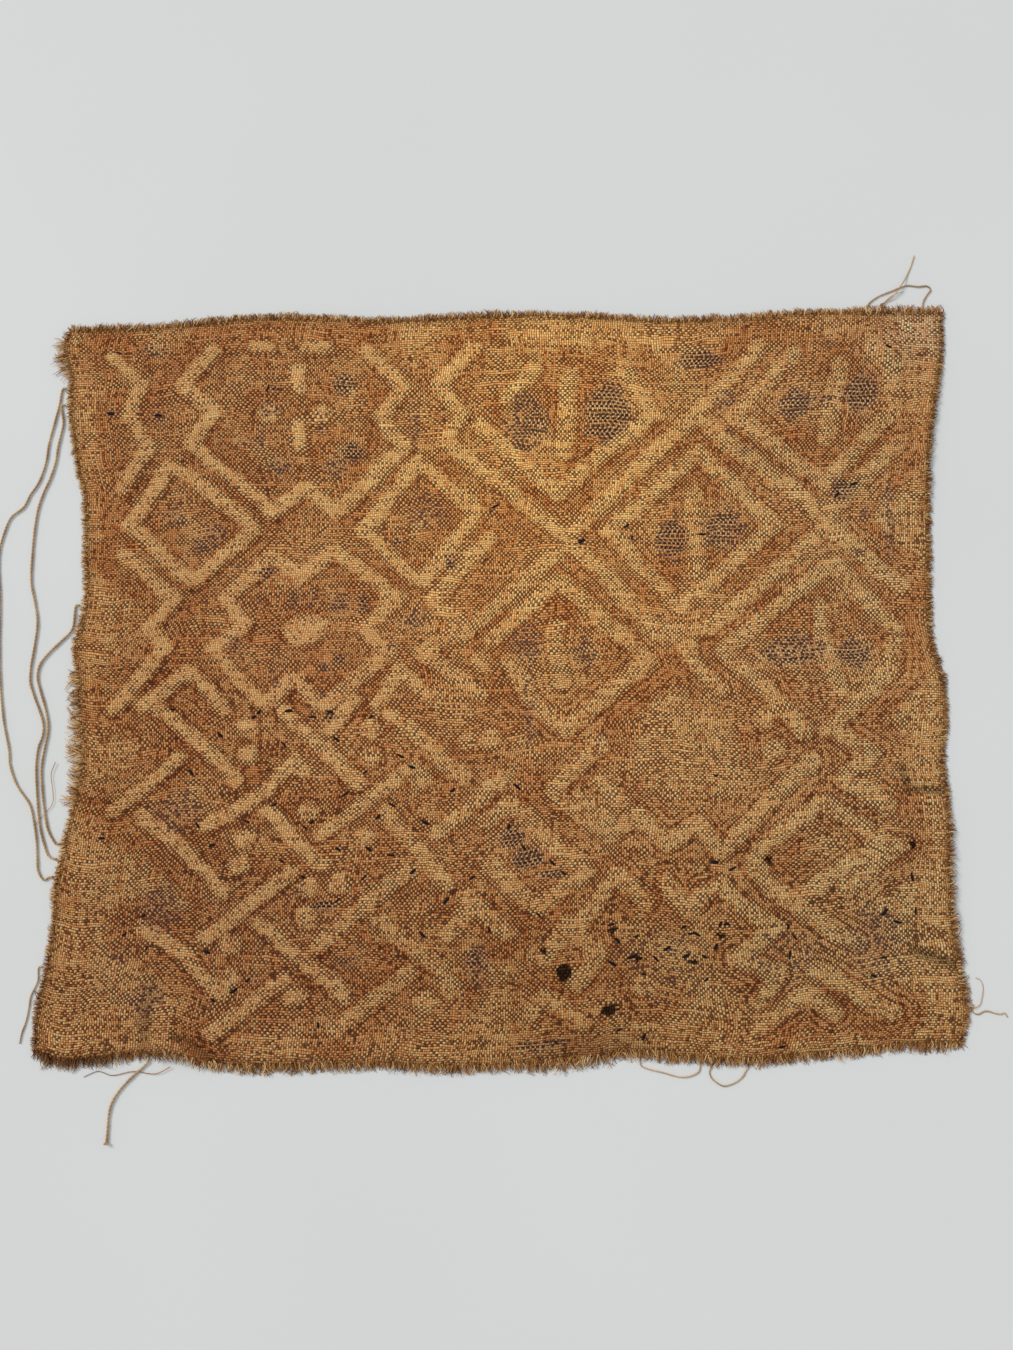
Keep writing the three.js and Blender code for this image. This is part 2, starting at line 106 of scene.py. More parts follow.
# %% The four edges, before they are moved to the part's middle
EDGE_POINTS = {
    "top": [
        (-0.292, 0.231), (-0.272, 0.232), (-0.225, 0.234), (-0.179, 0.239), (-0.132, 0.24),
        (-0.085, 0.238), (-0.038, 0.24), (0.009, 0.242), (0.056, 0.241), (0.103, 0.238),
        (0.15, 0.239), (0.197, 0.243), (0.244, 0.244), (0.291, 0.244),
    ],
    "bottom": [
        (-0.297, -0.238), (-0.278, -0.243), (-0.256, -0.241), (-0.212, -0.238), (-0.19, -0.244),
        (-0.168, -0.246), (-0.124, -0.246), (-0.08, -0.245), (-0.036, -0.247), (0.008, -0.245),
        (0.053, -0.241), (0.075, -0.238), (0.119, -0.241), (0.152, -0.243), (0.185, -0.24),
        (0.229, -0.236), (0.251, -0.233), (0.286, -0.233),
    ],
    "left": [
        (-0.292, 0.231), (-0.295, 0.218), (-0.29, 0.197), (-0.29, 0.177), (-0.283, 0.136),
        (-0.278, 0.116), (-0.276, 0.076), (-0.275, 0.056), (-0.277, 0.036), (-0.281, 0.016),
        (-0.278, -0.003), (-0.276, -0.029), (-0.274, -0.058), (-0.277, -0.081), (-0.283, -0.109),
        (-0.288, -0.138), (-0.288, -0.157), (-0.291, -0.185), (-0.296, -0.212), (-0.297, -0.238),
    ],
    "right": [
        (0.291, 0.244), (0.29, 0.218), (0.287, 0.197), (0.281, 0.163), (0.278, 0.136),
        (0.277, 0.096), (0.276, 0.049), (0.276, 0.026), (0.282, 0), (0.284, -0.023),
        (0.281, -0.055), (0.283, -0.09), (0.282, -0.125), (0.283, -0.157), (0.286, -0.182),
        (0.289, -0.203), (0.29, -0.216), (0.286, -0.233),
    ],
}
OUTWARD = {"top": (0, 1), "bottom": (0, -1), "left": (-1, 0), "right": (1, 0)}
UNIFORM, CENTRIPETAL = 0, 0.5  # two kinds of Catmull-Rom spline: powers of the distance between points
PER_SPAN = {"edge": 40, "yarn": 12, "wisp": 5}  # points on the curve for each measured point


def smooth_line(points, per_span, power):
    """A Catmull-Rom spline of one kind through the points."""
    p = np.array(points, float)
    if power:
        p = np.vstack([2 * p[0] - p[1], p, 2 * p[-1] - p[-2]])
    else:
        p = np.vstack([p[0], p, p[-1]])
    found = []
    for k in range(1, len(p) - 2):
        a, b, c, d = p[k - 1:k + 3]
        mid, before, after = [max(np.linalg.norm(gap) ** power, 1e-9) for gap in (c - b, b - a, d - c)]
        m0 = ((b - a) / before - (c - a) / (before + mid) + (c - b) / mid) * mid
        m1 = ((c - b) / mid - (d - b) / (mid + after) + (d - c) / after) * mid
        u = np.linspace(0, 1, per_span, endpoint=False)[:, None]
        found.append(b + m0 * u + (3 * (c - b) - 2 * m0 - m1) * u ** 2 + (2 * (b - c) + m0 + m1) * u ** 3)
    return np.vstack(found + [p[-2:-1]])


def spaced(line, shares):
    """Points at shares of the line's whole length."""
    reached = np.r_[0, np.cumsum(np.linalg.norm(np.diff(line, axis=0), axis=1))]
    reached /= reached[-1]
    return np.stack([np.interp(shares, reached, line[:, k]) for k in range(line.shape[1])], -1)


def length_of(line):
    return float(np.linalg.norm(np.diff(line, axis=0), axis=1).sum())


EDGES = {name: smooth_line(points, PER_SPAN["edge"], UNIFORM) - CENTRE
         for name, points in EDGE_POINTS.items()}


def edge_at(name, share):
    return spaced(EDGES[name], np.clip(share, 0, 1))


for name, line in EDGES.items():
    print(name, "edge", round(length_of(line), 3), "m")

# %% [markdown]
# ## Where the edge lifts off the table
# Dry cloth curls a little. Three stretches of the edge stand 1 to 2 mm off the table, and the fringe and
# the loose yarns rise with them. A squared sine starts and ends without a kink.

# %% Lifted stretches of the edge
LIFTS = [
    {"edge": "right", "from": 0.03, "to": 0.34, "height": 1.4 * MM},
    {"edge": "right", "from": 0.62, "to": 0.95, "height": 2.2 * MM},
    {"edge": "bottom", "from": 0.11, "to": 0.21, "height": 2.4 * MM},
]


def lift_at(edge, share):
    share = np.asarray(share, float)
    lift = np.zeros(share.shape)
    for row in LIFTS:
        if row["edge"] == edge:
            inside = np.clip((share - row["from"]) / (row["to"] - row["from"]), 0, 1)
            lift = lift + row["height"] * np.sin(np.pi * inside) ** 2
    return lift


print("highest lift", round(max(row["height"] for row in LIFTS) / MM, 1), "mm")

# %% [markdown]
# ## Loose yarns
# Ten raffia yarns have come out of the edges. Some go back into the cloth, some end bare, and one ends in
# a knot. Each is about 1 mm thick, of two plies twisted together. A plain round tube would look like wire,
# so each yarn is a curve with a two-lobed section that turns as it goes: the tilt of each point turns the
# section. The curve is then made a mesh.

# %% Routes of the loose yarns, before they are moved to the part's middle; a third number is a lift
YARNS = [
    {"name": "yarn_left_outer", "diameter": 0.0014, "leaves": ("left", 0.086),
     "returns": ("left", 0.77), "route": [
         (-0.297, 0.181), (-0.3, 0.167), (-0.303, 0.154), (-0.3045, 0.141), (-0.309, 0.127),
         (-0.314, 0.119), (-0.318, 0.111), (-0.326, 0.104), (-0.33, 0.094), (-0.333, 0.079),
         (-0.331, 0.049), (-0.33, 0.016), (-0.328, -0.01), (-0.325, -0.031), (-0.321, -0.049),
         (-0.32, -0.058), (-0.315, -0.071), (-0.306, -0.084), (-0.303, -0.095), (-0.301, -0.106),
         (-0.3, -0.118), (-0.299, -0.126), (-0.295, -0.1315)]},
    {"name": "yarn_left_inner", "diameter": 0.0015, "leaves": ("left", 0.11),
     "returns": ("left", 0.745), "route": [
         (-0.294, 0.168), (-0.2955, 0.159), (-0.297, 0.151), (-0.298, 0.142), (-0.301, 0.131),
         (-0.305, 0.121), (-0.308, 0.112), (-0.31, 0.098), (-0.311, 0.08), (-0.311, 0.061),
         (-0.308, 0.047), (-0.306, 0.035), (-0.307, 0.02), (-0.309, 0.005), (-0.309, -0.005),
         (-0.306, -0.014), (-0.302, -0.024), (-0.2995, -0.032), (-0.2995, -0.039),
         (-0.302, -0.047), (-0.303, -0.058), (-0.302, -0.074), (-0.3005, -0.088), (-0.2985, -0.1),
         (-0.2955, -0.11), (-0.293, -0.116)]},
    {"name": "yarn_left_short", "diameter": 0.0015, "leaves": ("left", 0.396),
     "returns": ("left", 0.725), "route": [
         (-0.283, 0.03), (-0.29, 0.022), (-0.297, 0.015), (-0.303, 0.007), (-0.3045, -0.001),
         (-0.302, -0.011), (-0.299, -0.02), (-0.2965, -0.031), (-0.2965, -0.039), (-0.298, -0.048),
         (-0.2995, -0.059), (-0.2985, -0.074), (-0.2965, -0.088), (-0.294, -0.099),
         (-0.291, -0.105)]},
    {"name": "yarn_left_low", "diameter": 0.001, "leaves": ("left", 0.889),
     "route": [
         (-0.2967, -0.1945), (-0.3007, -0.204), (-0.3017, -0.212), (-0.303, -0.219),
         (-0.3055, -0.227), (-0.3066, -0.233)]},
    {"name": "yarn_bottom_knotted", "diameter": 0.0016, "leaves": ("bottom", 0.124),
     "route": [
         (-0.228, -0.247), (-0.2353, -0.2536), (-0.2426, -0.2615), (-0.2473, -0.2694),
         (-0.249, -0.2773), (-0.2493, -0.285), (-0.2497, -0.293)]},
    {"name": "yarn_bottom_loop", "diameter": 0.0009, "leaves": ("bottom", 0.654),
     "returns": ("bottom", 0.719), "route": [
         (0.0845, -0.2465), (0.089, -0.2486), (0.0971, -0.2505), (0.1096, -0.2536),
         (0.1166, -0.2526), (0.121, -0.25)]},
    {"name": "yarn_bottom_hoop", "diameter": 0.0009, "leaves": ("bottom", 0.731),
     "returns": ("bottom", 0.77), "route": [
         (0.1275, -0.2505), (0.1287, -0.254), (0.1328, -0.2575), (0.1365, -0.259),
         (0.1441, -0.2566), (0.1486, -0.2529), (0.1504, -0.2498)]},
    {"name": "yarn_right_curl", "diameter": 0.0009, "leaves": ("right", 0.949),
     "route": [
         (0.294, -0.2128), (0.2963, -0.2149), (0.2988, -0.2147), (0.301, -0.2134),
         (0.3039, -0.2131), (0.3079, -0.2143), (0.3117, -0.2149), (0.3145, -0.2143),
         (0.316, -0.2166)]},
    {"name": "yarn_top_loop", "diameter": 0.001, "leaves": ("top", 0.917),
     "returns": ("top", 0.98), "route": [
         (0.2482, 0.2542), (0.2577, 0.2584), (0.2646, 0.2612), (0.2693, 0.2626), (0.2767, 0.2619),
         (0.2827, 0.2622), (0.2849, 0.2598), (0.2825, 0.2563), (0.2797, 0.2514)]},
    {"name": "yarn_top_bare", "diameter": 0.0008, "leaves": ("top", 0.931),
     "route": [
         (0.2549, 0.2514, 0.0002), (0.2598, 0.2554, 0.0013), (0.2639, 0.2611, 0.0022),
         (0.2674, 0.2661, 0.0009), (0.2696, 0.2703), (0.2718, 0.2752), (0.2747, 0.2836)]},
]
SEAT = {"gap": 0.4 * MM, "strip": 2.0 * MM, "seat": 0.35 * MM, "per_radius": 0.35, "clear": 0.1 * MM,
        "straight": 2.2 * MM}


def seat_points(end, radius):
    """Where a yarn leaves the fringe: a point at the strip, and one straight out from it."""
    edge, share = end
    out = SEAT["gap"] + SEAT["strip"] + SEAT["seat"] + SEAT["per_radius"] * radius
    x, y = edge_at(edge, share)
    nx, ny = OUTWARD[edge]
    z = radius + SEAT["clear"] + float(lift_at(edge, share))
    near = (x + nx * out, y + ny * out, z)
    away = (near[0] + nx * SEAT["straight"], near[1] + ny * SEAT["straight"], z)
    return [near, away]


def yarn_line(yarn):
    radius = yarn["diameter"] / 2
    points = seat_points(yarn["leaves"], radius)
    for x, y, *lift in yarn["route"]:
        points.append((x - CENTRE[0], y - CENTRE[1], radius + SEAT["clear"] + sum(lift)))
    if "returns" in yarn:
        points += seat_points(yarn["returns"], radius)[::-1]
    return smooth_line(points, PER_SPAN["yarn"], CENTRIPETAL)


YARN_LINES = {yarn["name"]: yarn_line(yarn) for yarn in YARNS}
for name, line in YARN_LINES.items():
    print(name, round(length_of(line), 4), "m")

# %% A curve made into a mesh, and the twisted section
def add_piece(name, mesh, material_slot, *nodes):
    """A finished piece: its object stays at the origin, rides on the root and stands for the named nodes."""
    piece = put_in_scene(name, mesh)
    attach(piece, "root")
    if nodes:
        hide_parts(*nodes)
    return piece


def new_curve(name, thickness=0.0, resolution=0):
    """A curve in space with closed ends; its thickness is a radius."""
    curve = bpy.data.curves.new(name, "CURVE")
    curve.dimensions = "3D"
    curve.bevel_depth = thickness
    curve.bevel_resolution = resolution
    curve.use_fill_caps = True
    return curve


def mesh_of_curve(name, curve, *helpers, masks=None):
    """The curve as a closed mesh with masks on its points; the curve and its helpers are removed."""
    carrier = put_in_scene(name + " curve", curve)
    bpy.context.view_layer.update()
    graph = bpy.context.evaluated_depsgraph_get()
    mesh = bpy.data.meshes.new_from_object(carrier.evaluated_get(graph))
    mesh.name = name
    for helper in (carrier, *helpers):
        bpy.data.objects.remove(helper)
    for mask, values in (masks or {}).items():
        mesh.attributes.new(mask, "FLOAT", "POINT").data.foreach_set("value", values.astype(np.float32))
    bm = bmesh.new()
    bm.from_mesh(mesh)
    bmesh.ops.remove_doubles(bm, verts=bm.verts[:], dist=MM / 1000)
    bmesh.ops.recalc_face_normals(bm, faces=bm.faces[:])
    for face in bm.faces:
        face.smooth = True
    bm.to_mesh(mesh)
    bm.free()
    return mesh


def on_rings(splines, sides):
    """Values for each point of each spline, spread to the points of the mesh: all its end caps come first."""
    caps = [value for values in reversed(splines) for value in (values[-1], values[0])]
    rings = [value for values in splines for value in values]
    return np.repeat(np.array(caps + rings), sides)


def add_spline(curve, points, radii, tilts=None):
    spline = curve.splines.new("POLY")
    spline.points.add(len(points) - 1)
    spline.points.foreach_set("co", np.c_[points, np.ones(len(points))].ravel())
    spline.points.foreach_set("radius", radii)
    if tilts is not None:
        spline.points.foreach_set("tilt", tilts)
    return spline


# The section's sides, its groove and its height in radii, then one turn and one step in diameters.
PLY = {"sides": 12, "groove": 0.2, "flat": 0.86, "pitch": 3.2, "step": 0.45}
THICKER = ((0.07, 310.0), (0.05, 790.0))  # waves in a yarn's thickness: share, and radians to the metre


def two_lobed_section(radius):
    """A closed curve like a figure of eight that has been filled out: two plies seen end on."""
    curve = bpy.data.curves.new("yarn section", "CURVE")
    turns = np.arange(PLY["sides"]) * 2 * np.pi / PLY["sides"]
    reach = radius * (1 - PLY["groove"] * (1 - np.abs(np.cos(turns))) ** 1.5)
    rounded = np.stack([reach * np.cos(turns), PLY["flat"] * reach * np.sin(turns), 0 * turns], -1)
    add_spline(curve, rounded, np.ones(len(turns))).use_cyclic_u = True
    return put_in_scene("yarn section", curve)


def twisted_yarn(name, line, diameter):
    """A two-ply yarn along the line, a little thicker and thinner by turns, as split raffia is."""
    radius = diameter / 2
    length = length_of(line)
    steps = max(12, int(length / (PLY["step"] * diameter)))
    shares = np.linspace(0, 1, steps)
    points = spaced(line, shares)
    phases = (radius * 9e4, 0.0)  # yarns of another thickness have other waves
    wave = sum(size * np.sin(shares * length * turn + phase) for (size, turn), phase in zip(THICKER, phases))
    section = two_lobed_section(radius)
    curve = new_curve(name)
    curve.twist_mode = "MINIMUM"
    curve.bevel_mode = "OBJECT"
    curve.bevel_object = section
    add_spline(curve, points, 1 + wave, shares * length / (PLY["pitch"] * diameter) * 2 * np.pi)
    # The groove mask marks the waist between the plies, where the finish paints shade.
    groove = 1 - np.abs(np.cos(np.arange(PLY["sides"]) * 2 * np.pi / PLY["sides"]))
    return mesh_of_curve(name, curve, section, masks={"groove": np.tile(groove, steps + 2)})


YARN_PIECES = []
for yarn in YARNS:
    line = YARN_LINES[yarn["name"]]
    piece = add_piece("loose_" + yarn["name"], twisted_yarn(yarn["name"], line, yarn["diameter"]),
                      "raffia_yarn", yarn["name"])
    YARN_PIECES.append(piece)
print("yarns:", len(YARN_PIECES), "faces:", sum(len(p.data.polygons) for p in YARN_PIECES))

# %% [markdown]
# ## The chart of the pattern
# The pattern on the hidden side is traditional: zigzags, diamonds, nested lozenges and a woven lattice. On
# this side each line of pile lifts the cloth in a low band about 7 mm wide. The bands were charted
# on a grid of 74 columns and 69 rows. They could be drawn as separate ridges, but then they would meet
# badly. Instead each point of the cloth asks for the distance to the nearest band, and that one number
# gives both the height of the ridge and, later, its colour.

# %% The chart: paths of column,row turns, counted from the top left corner
CHART = {"columns": 74, "rows": 69}
BANDS = {
    "left zigzag": ["4,3 6,6 5,9 6.5,12 3.5,16"],
    "tall panel": ["12.5,3 9.5,6 12.5,9 10,12 16.5,19 19.5,16.5 22,19 28.5,12.5 26.5,9.5 28.5,7 25.5,3"],
    "tall panel cross": ["19.5,5 19.5,7", "19.5,10.5 19.5,12.5", "16,3 17,3", "20.5,3 22,3"],
    "middle zigzag": ["34.5,3 31.5,6.5 33.5,9.5 32,12 42,21.5"],
    "diamond": ["8,14 15,20.5 9.5,25.5 4,19.5 8,14", "29.5,14 34.5,19 29.5,25.5 24.5,20.5 29.5,14"],
    "notched panel": [
        "16.5,23 12.5,27 14.5,29.5 12,32 16,37 18.5,34.5 21,37 27,32 25,29.5 27.5,27",
        "27.5,27 22,22.5 19,25 16.5,23",
    ],
    "panel heart": ["19,29.5 21,29.5"],
    "lower zigzag": ["3.5,22.5 8,27 6,29.5 8,31.5 3,37"],
    "inner zigzag": ["35.5,21.5 30.5,27 33.5,29.5 30,32 34.5,36"],
    "chevron": ["5.5,37 9.5,34 12.5,37.5", "25.5,37 28,33.5 30.5,36.5", "17,43.5 18.5,42 19.5,43"],
    "first nest": ["35,10.5 41.5,17.5 50,9.5 47,5", "37.5,8 39.5,5.5"],
    "first nest heart": ["42.5,6 42.5,13.5"],
    "second nest": ["61.5,4 57,9.5 65,17 70.5,10 70,5.5 68,3"],
    "second nest border": ["58.5,3 53.5,9.5", "65,20 71.5,13"],
    "second nest heart": ["65.5,5 65,12.5"],
    "third nest border": ["42.5,21.5 53.5,9.5 65,20", "43,22.5 50.5,30.5 54.5,30 64,22"],
    "third nest": ["54,13 60.5,20.5 52,28 46,21 54,13"],
    "third nest heart": ["53.5,17 53.5,24.5"],
    "fourth nest border": ["41.5,23 36.5,27.5 33.5,30.5"],
    "fourth nest": ["36,31 41.5,25.5 49.5,33 41.5,39.5 38.5,36.5 37.5,33"],
    "fourth nest heart": ["41.5,30 41.5,35"],
    "fifth nest border": ["53,30.5 53,33 55,35.5", "65,20.5 71.5,27"],
    "fifth nest": ["62,40 56,32 65.5,24.5 71,31 70,34.5 64,40"],
    "fifth nest heart": ["64.5,28.5 65,36.5"],
    "right zigzag": ["64.5,40 68,42.5 65.5,44.5 69,47.5"],
    "long zigzag": ["43.5,42 40.5,45 45.5,49.5 48,47.5 50.5,50 53,48 55,50.5 59.5,45.5 61.5,44"],
    "long zigzag heart": ["44.5,44.5 46.5,46.5", "43,45.5 45.5,48"],
    "sixth nest": ["58,50.5 63.5,46.5 68.5,50.5 61,55.5 57.5,51.5"],
    "sixth nest border": ["65.5,54.5 70,51", "61,55.5 66,59.5"],
    "small nest": ["35,47.5 37,46 44,52.5 40,55.5 36,51.5"],
    "lower chevron": [
        "43.5,57 46.5,53 49,55.5",
        "40.5,60 42.5,57 45,60 43,62.5",
        "39.5,64.5 40.5,63 43.5,66",
    ],
    "valley chevron": ["50.5,53.5 52.5,56 54,54"],
    "corner chevron": ["55,53.5 59.5,57.5 56,60 59.5,61.5 57.5,64", "57.5,66 61.5,63.5 63.5,65.5"],
    "corner band": ["62.5,61.5 68,66"],
    "lower band": ["34,54 37.5,57.5", "32.5,57.5 34.5,55"],
}
FALLING_BARS = """7,37.5,13.5,44 17.5,37.5,24,44 26.5,37.5,33,43.5 6,47,14,54 16.5,46.5,22,51.5
    26.5,46.5,32.5,53 7.5,57.5,14.5,63 17,56.5,24.5,63 27,56.5,32,60.5"""
RISING_BARS = """3.5,46.5,8.5,42 11.5,48.5,16.5,44.5 21.5,48.5,28.5,42.5 31,48.5,36.5,43.5
    12.5,58.5,19.5,52 22,58.5,29,52 14,66.5,19.5,61.5 24,66,29.5,61 21.5,39,23.5,36.5"""
SPOTS = """14.5,39 14.5,41.5 25,39 25,41.5 20,46.5 29.5,43.5 15,49 15,51.5 25,49 23.5,53 21,53.5 21,56
    15,58.5 15,61.5 20.5,63 31,63.5 33,62 33.5,40 35,40 43,62 48.5,63 35,33 17,9.5 21.5,9.5
    62.5,43 59.5,41.5 44.5,41 58.5,38.5"""


def path_segments(path):
    """The straight pieces of a path; a single turn is a piece of no length."""
    turns = rows_of(path)
    return list(zip(turns, turns[1:])) or [(turns[0], turns[0])]


def bar_segments(bars):
    return [((a, b), (c, d)) for a, b, c, d in rows_of(bars)]


BAND_SEGMENTS = [segment for paths in BANDS.values() for path in paths for segment in path_segments(path)]
BAND_SEGMENTS += bar_segments(FALLING_BARS) + bar_segments(RISING_BARS)
FAINT_SEGMENTS = [segment for name, paths in BANDS.items() if name.endswith("nest heart")
                  for path in paths for segment in path_segments(path)]
SPOT_SEGMENTS = [(spot, spot) for spot in rows_of(SPOTS)]
HEART_SEGMENTS = path_segments("19.5,30 20,30")  # the oval in the heart of the notched panel
print("bands:", len(BAND_SEGMENTS), "spots:", len(SPOT_SEGMENTS))


def distance_to(segments, column, row):
    """Distance in grid squares from each place to the nearest segment."""
    nearest = np.full(column.shape, 1e9)
    for (x0, y0), (x1, y1) in segments:
        run = max((x1 - x0) ** 2 + (y1 - y0) ** 2, 1e-9)
        along = np.clip(((column - x0) * (x1 - x0) + (row - y0) * (y1 - y0)) / run, 0, 1)
        away = np.hypot(column - x0 - along * (x1 - x0), row - y0 - along * (y1 - y0))
        nearest = np.minimum(nearest, away)
    return nearest


def smooth_step(value, low, high):
    x = np.clip((value - low) / (high - low), 0, 1)
    return x * x * (3 - 2 * x)

# %% [markdown]
# ## Creases, stains and tone
# Besides the pattern there are a few creases, a fold at the right edge, a pucker at the lower left, dark
# dye that has come through in lozenges, and broad changes of tone from sun and handling. Each is a row in
# a short table, placed on the same chart, so that all of them follow the cloth.

# %% Creases and folds: height or depth, and half width in grid squares
FOLDS = [
    {"name": "right fold", "path": "70.4,43.2 71,45 74,45.2", "height": 1.4 * MM, "reach": 1.0},
    {"name": "right slit", "path": "70.5,44 70.8,46 74,46.2", "height": -1.0 * MM, "reach": 0.6},
    {"name": "corner crease", "path": "70.6,60.6 74,62", "height": -0.6 * MM, "reach": 0.9},
    {"name": "middle furrow", "path": "38.3,33.5 38,41 38.6,45", "height": -0.25 * MM, "reach": 1.2},
    {"name": "bottom pucker", "path": "9.6,68.4 13.4,68.6", "height": 0.7 * MM, "reach": 1.4},
    {"name": "pucker crease", "path": "11,67.6 12.6,67.7 14.2,68.5", "height": -0.9 * MM, "reach": 0.6},
]

# %% Dark dye: column,row,half width,half height,strength
DYE = {
    "top left": """7.5,2.5,1.5,0.5,0.5 3.5,8.5,0.5,0.5,0.5 7.5,9,1,1,0.3 6,12,0.5,1,0.3 17.5,7,0.5,0.5,0.6
        23.5,6.5,1,1,0.9 17,9,1,1,0.5 21.5,9.5,0.5,0.5,0.5 16,12,0.5,1,0.5 21.5,11,0.5,0.5,0.5
        24,13,1,1,0.9 14.5,12,0.5,0.5,0.4 12.5,12.5,0.5,0.5,0.3 17.5,14.5,1,1,0.5 22.5,14.5,1,1,0.5
        28.5,5,0.5,0.5,0.4 29.5,10.5,0.5,2.5,0.35""",
    "diamonds": """8,19,1,1,0.45 10.5,22,1,1,0.5 11.5,21,1,1,0.45 27.5,21.5,0.5,0.5,0.9 30,19,2,2,0.3
        32,23.5,0.5,1,0.8 16,24.5,1,0.5,0.8 13.5,24,0.5,0.5,0.4""",
    "notched panel": """18.5,27,0.5,1,0.5 20,27,0.5,1,0.5 15.5,27.5,0.5,0.5,0.4 22.5,27.5,1,1,0.5
        24.5,27.5,0.5,1,0.85 14,31.5,0.5,1,0.5 23,32.5,0.5,0.5,0.8 21.5,33.5,0.5,0.5,0.5
        17,33.5,0.5,0.5,0.4 17,35,0.5,0.5,0.4 21,36,0.5,0.5,0.4 21.5,38,0.5,0.5,0.9 29,29,1.5,1,0.4
        27.5,31.5,0.5,0.5,0.4""",
    "first nest": """39,10.5,2,3,0.6 46,9.5,2,3,0.95 44.5,11.5,0.5,0.5,0.9 53.5,4,2,1,0.85 58,13,1,0.5,0.5
        56,8,1,1,0.5 56.5,11,0.5,0.5,0.4 64.5,3,0.5,0.5,0.4""",
    "second nest": """62,9,1.5,1.5,0.7 64.5,8.5,1,0.5,0.7 67.5,8,1.5,2,0.8 66.5,17.5,1,1,0.95
        68.5,20,0.5,0.5,0.5 70.5,20.5,0.5,4.5,0.45 68,23.5,0.5,0.5,0.4""",
    "third nest": """51.5,21.5,1.5,2,0.85 56,20.5,2,2,0.65 43.5,22,0.5,0.5,0.9 48,21.5,0.5,0.5,0.5
        57.5,20.5,0.5,0.5,0.5""",
    "fourth nest": """39,31.5,1.5,2,0.4 44,32.5,1,1.5,0.5 44.5,40.5,0.5,0.5,0.5 38.5,37.5,0.5,3.5,0.35""",
    "fifth nest": """62,32.5,3,1.5,0.7 67,33,1.5,1.5,0.7""",
    "lower": """37.5,49,1,1,0.9 39,51,1.5,1,0.85 41,52.5,1,0.5,0.9 35,60,1,2,0.6 35.5,62,0.5,0.5,0.5
        24.5,60,1,0.5,0.5 9,47,2,2,0.35 9,56,2,2.5,0.35 22.5,55,1,0.5,0.9 20.5,53.5,0.5,0.5,0.5
        8.5,64,1.5,1.5,0.4 6,60,1,1,0.3 50,60.5,4,3.5,0.12 67.5,59.5,2.5,3.5,0.3 60,60,3,3,0.12
        40,67.5,2.5,0.5,0.7""",
}

# %% Round dark stains: column,row,half width,half height
STAINS = """42,61.3,0.75,0.85 45.7,65,0.85,0.6 40.5,59.3,0.4,0.45 52.5,60.5,0.5,0.4 55,58,0.5,0.4
    59,51.3,0.4,0.35 71,51,0.35,0.35 48,60.5,0.5,0.4 46,58,0.5,0.35"""

# %% Broad changes of tone: column,row,half width,half height, then how much redder, greener and bluer
TONES = {
    "gold, top middle": (40, 7, 14, 14, (1.27, 1.30, 1.13)),
    "gold, heart": (40, 26, 18, 14, (1.16, 1.15, 1.05)),
    "brown, left side": (4, 38, 10, 40, (0.92, 0.89, 0.88)),
    "brown, lower left": (14, 62, 22, 16, (0.83, 0.81, 0.84)),
    "brown, lower middle": (43, 63, 16, 10, (0.84, 0.83, 0.80)),
    "grey, right side": (70, 30, 12, 34, (1.02, 1.09, 1.15)),
    "grey, lower right": (66, 60, 14, 14, (0.86, 0.91, 0.94)),
    "red brown, panel": (19, 31, 9, 7, (0.95, 0.90, 0.92)),
    "pale corner": (72, 2, 3.5, 3, (1.08, 1.27, 1.65)),
    "grey green spot": (70.5, 5, 1.2, 1.5, (0.86, 0.92, 0.92)),
    # A narrow darker band runs beside the fold at the lower left.
    "darker band, lower left fold": (8.8, 66, 0.6, 3.2, (0.55, 0.55, 0.58)),
    "grime, lower edge": (45, 68, 6, 1.6, (0.66, 0.64, 0.66)),
}
print("dye patches:", sum(len(rows.split()) for rows in DYE.values()))

# %% [markdown]
# ## The cloth
# The panel is one sheet about 2 mm thick. A cloth simulation could settle it, but it lies flat, so its
# form is given: a flat grid is made with the grid operator, each point is moved to its place
# inside the four edges, and its height is worked out from the chart. Extruding the whole grid once, and
# setting that second skin down flat, closes the sheet. The UV map keeps the place in the weave, so the
# pattern of threads bends with the edges as real threads do.

# %% Place every point of the sheet
SHEET = {"across": 228, "down": 194, "thickness": 2.1 * MM, "border": 1.7 * MM, "band": 0.85 * MM}
BAND_PROFILE = {"crest": 0.3, "foot": 0.85}
FOOT = {"depth": 0.18 * MM, "at": 1.15, "reach": 0.35}  # the shallow groove along a band
# The flank mask marks the side of a band to the lower right, away from the sun, where the finish paints
# shade.
FLANK = {"shift": 0.45, "near": 0.4, "far": 0.85}  # the shaded side of a band, to the lower right
WIDER = {"spot": 0.25, "heart": 0.85}  # how much wider a spot or the heart is than a band, on each side
BEND = 0.16  # how far a band wanders from its straight path
# How clear the bands are: they fade to the right, more so at the worn right side, and at the nests' hearts.
FADING = {"loss": 0.55, "lean": 0.25, "from": 22, "to": 44}
WORN = {"loss": 0.6, "from": 64, "to": 70}
FAINT = {"loss": 0.7, "near": 0.4, "far": 1.1}
RULED = {"from": (33, 39), "left end": (36, 44), "right from": (43, 51)}  # where rows of pile show through
WAVES = ((0.22 * MM, 0.22, 0.25, 2), (0.08 * MM, 1.3, 1.0, 9))  # height, steps across and down, and a seed
FLAT = (588 * MM, 491 * MM)  # the cloth's flat size, across and down
RIM = {"slope": 18 * MM, "lift": 0.016}  # how far in the cloth gets thicker, and a lift dies away (a share)
# Painted shade: a fold deeper than this is coloured dark inside.
DEEP = 0.5 * MM  # a fold deeper than this is dark inside


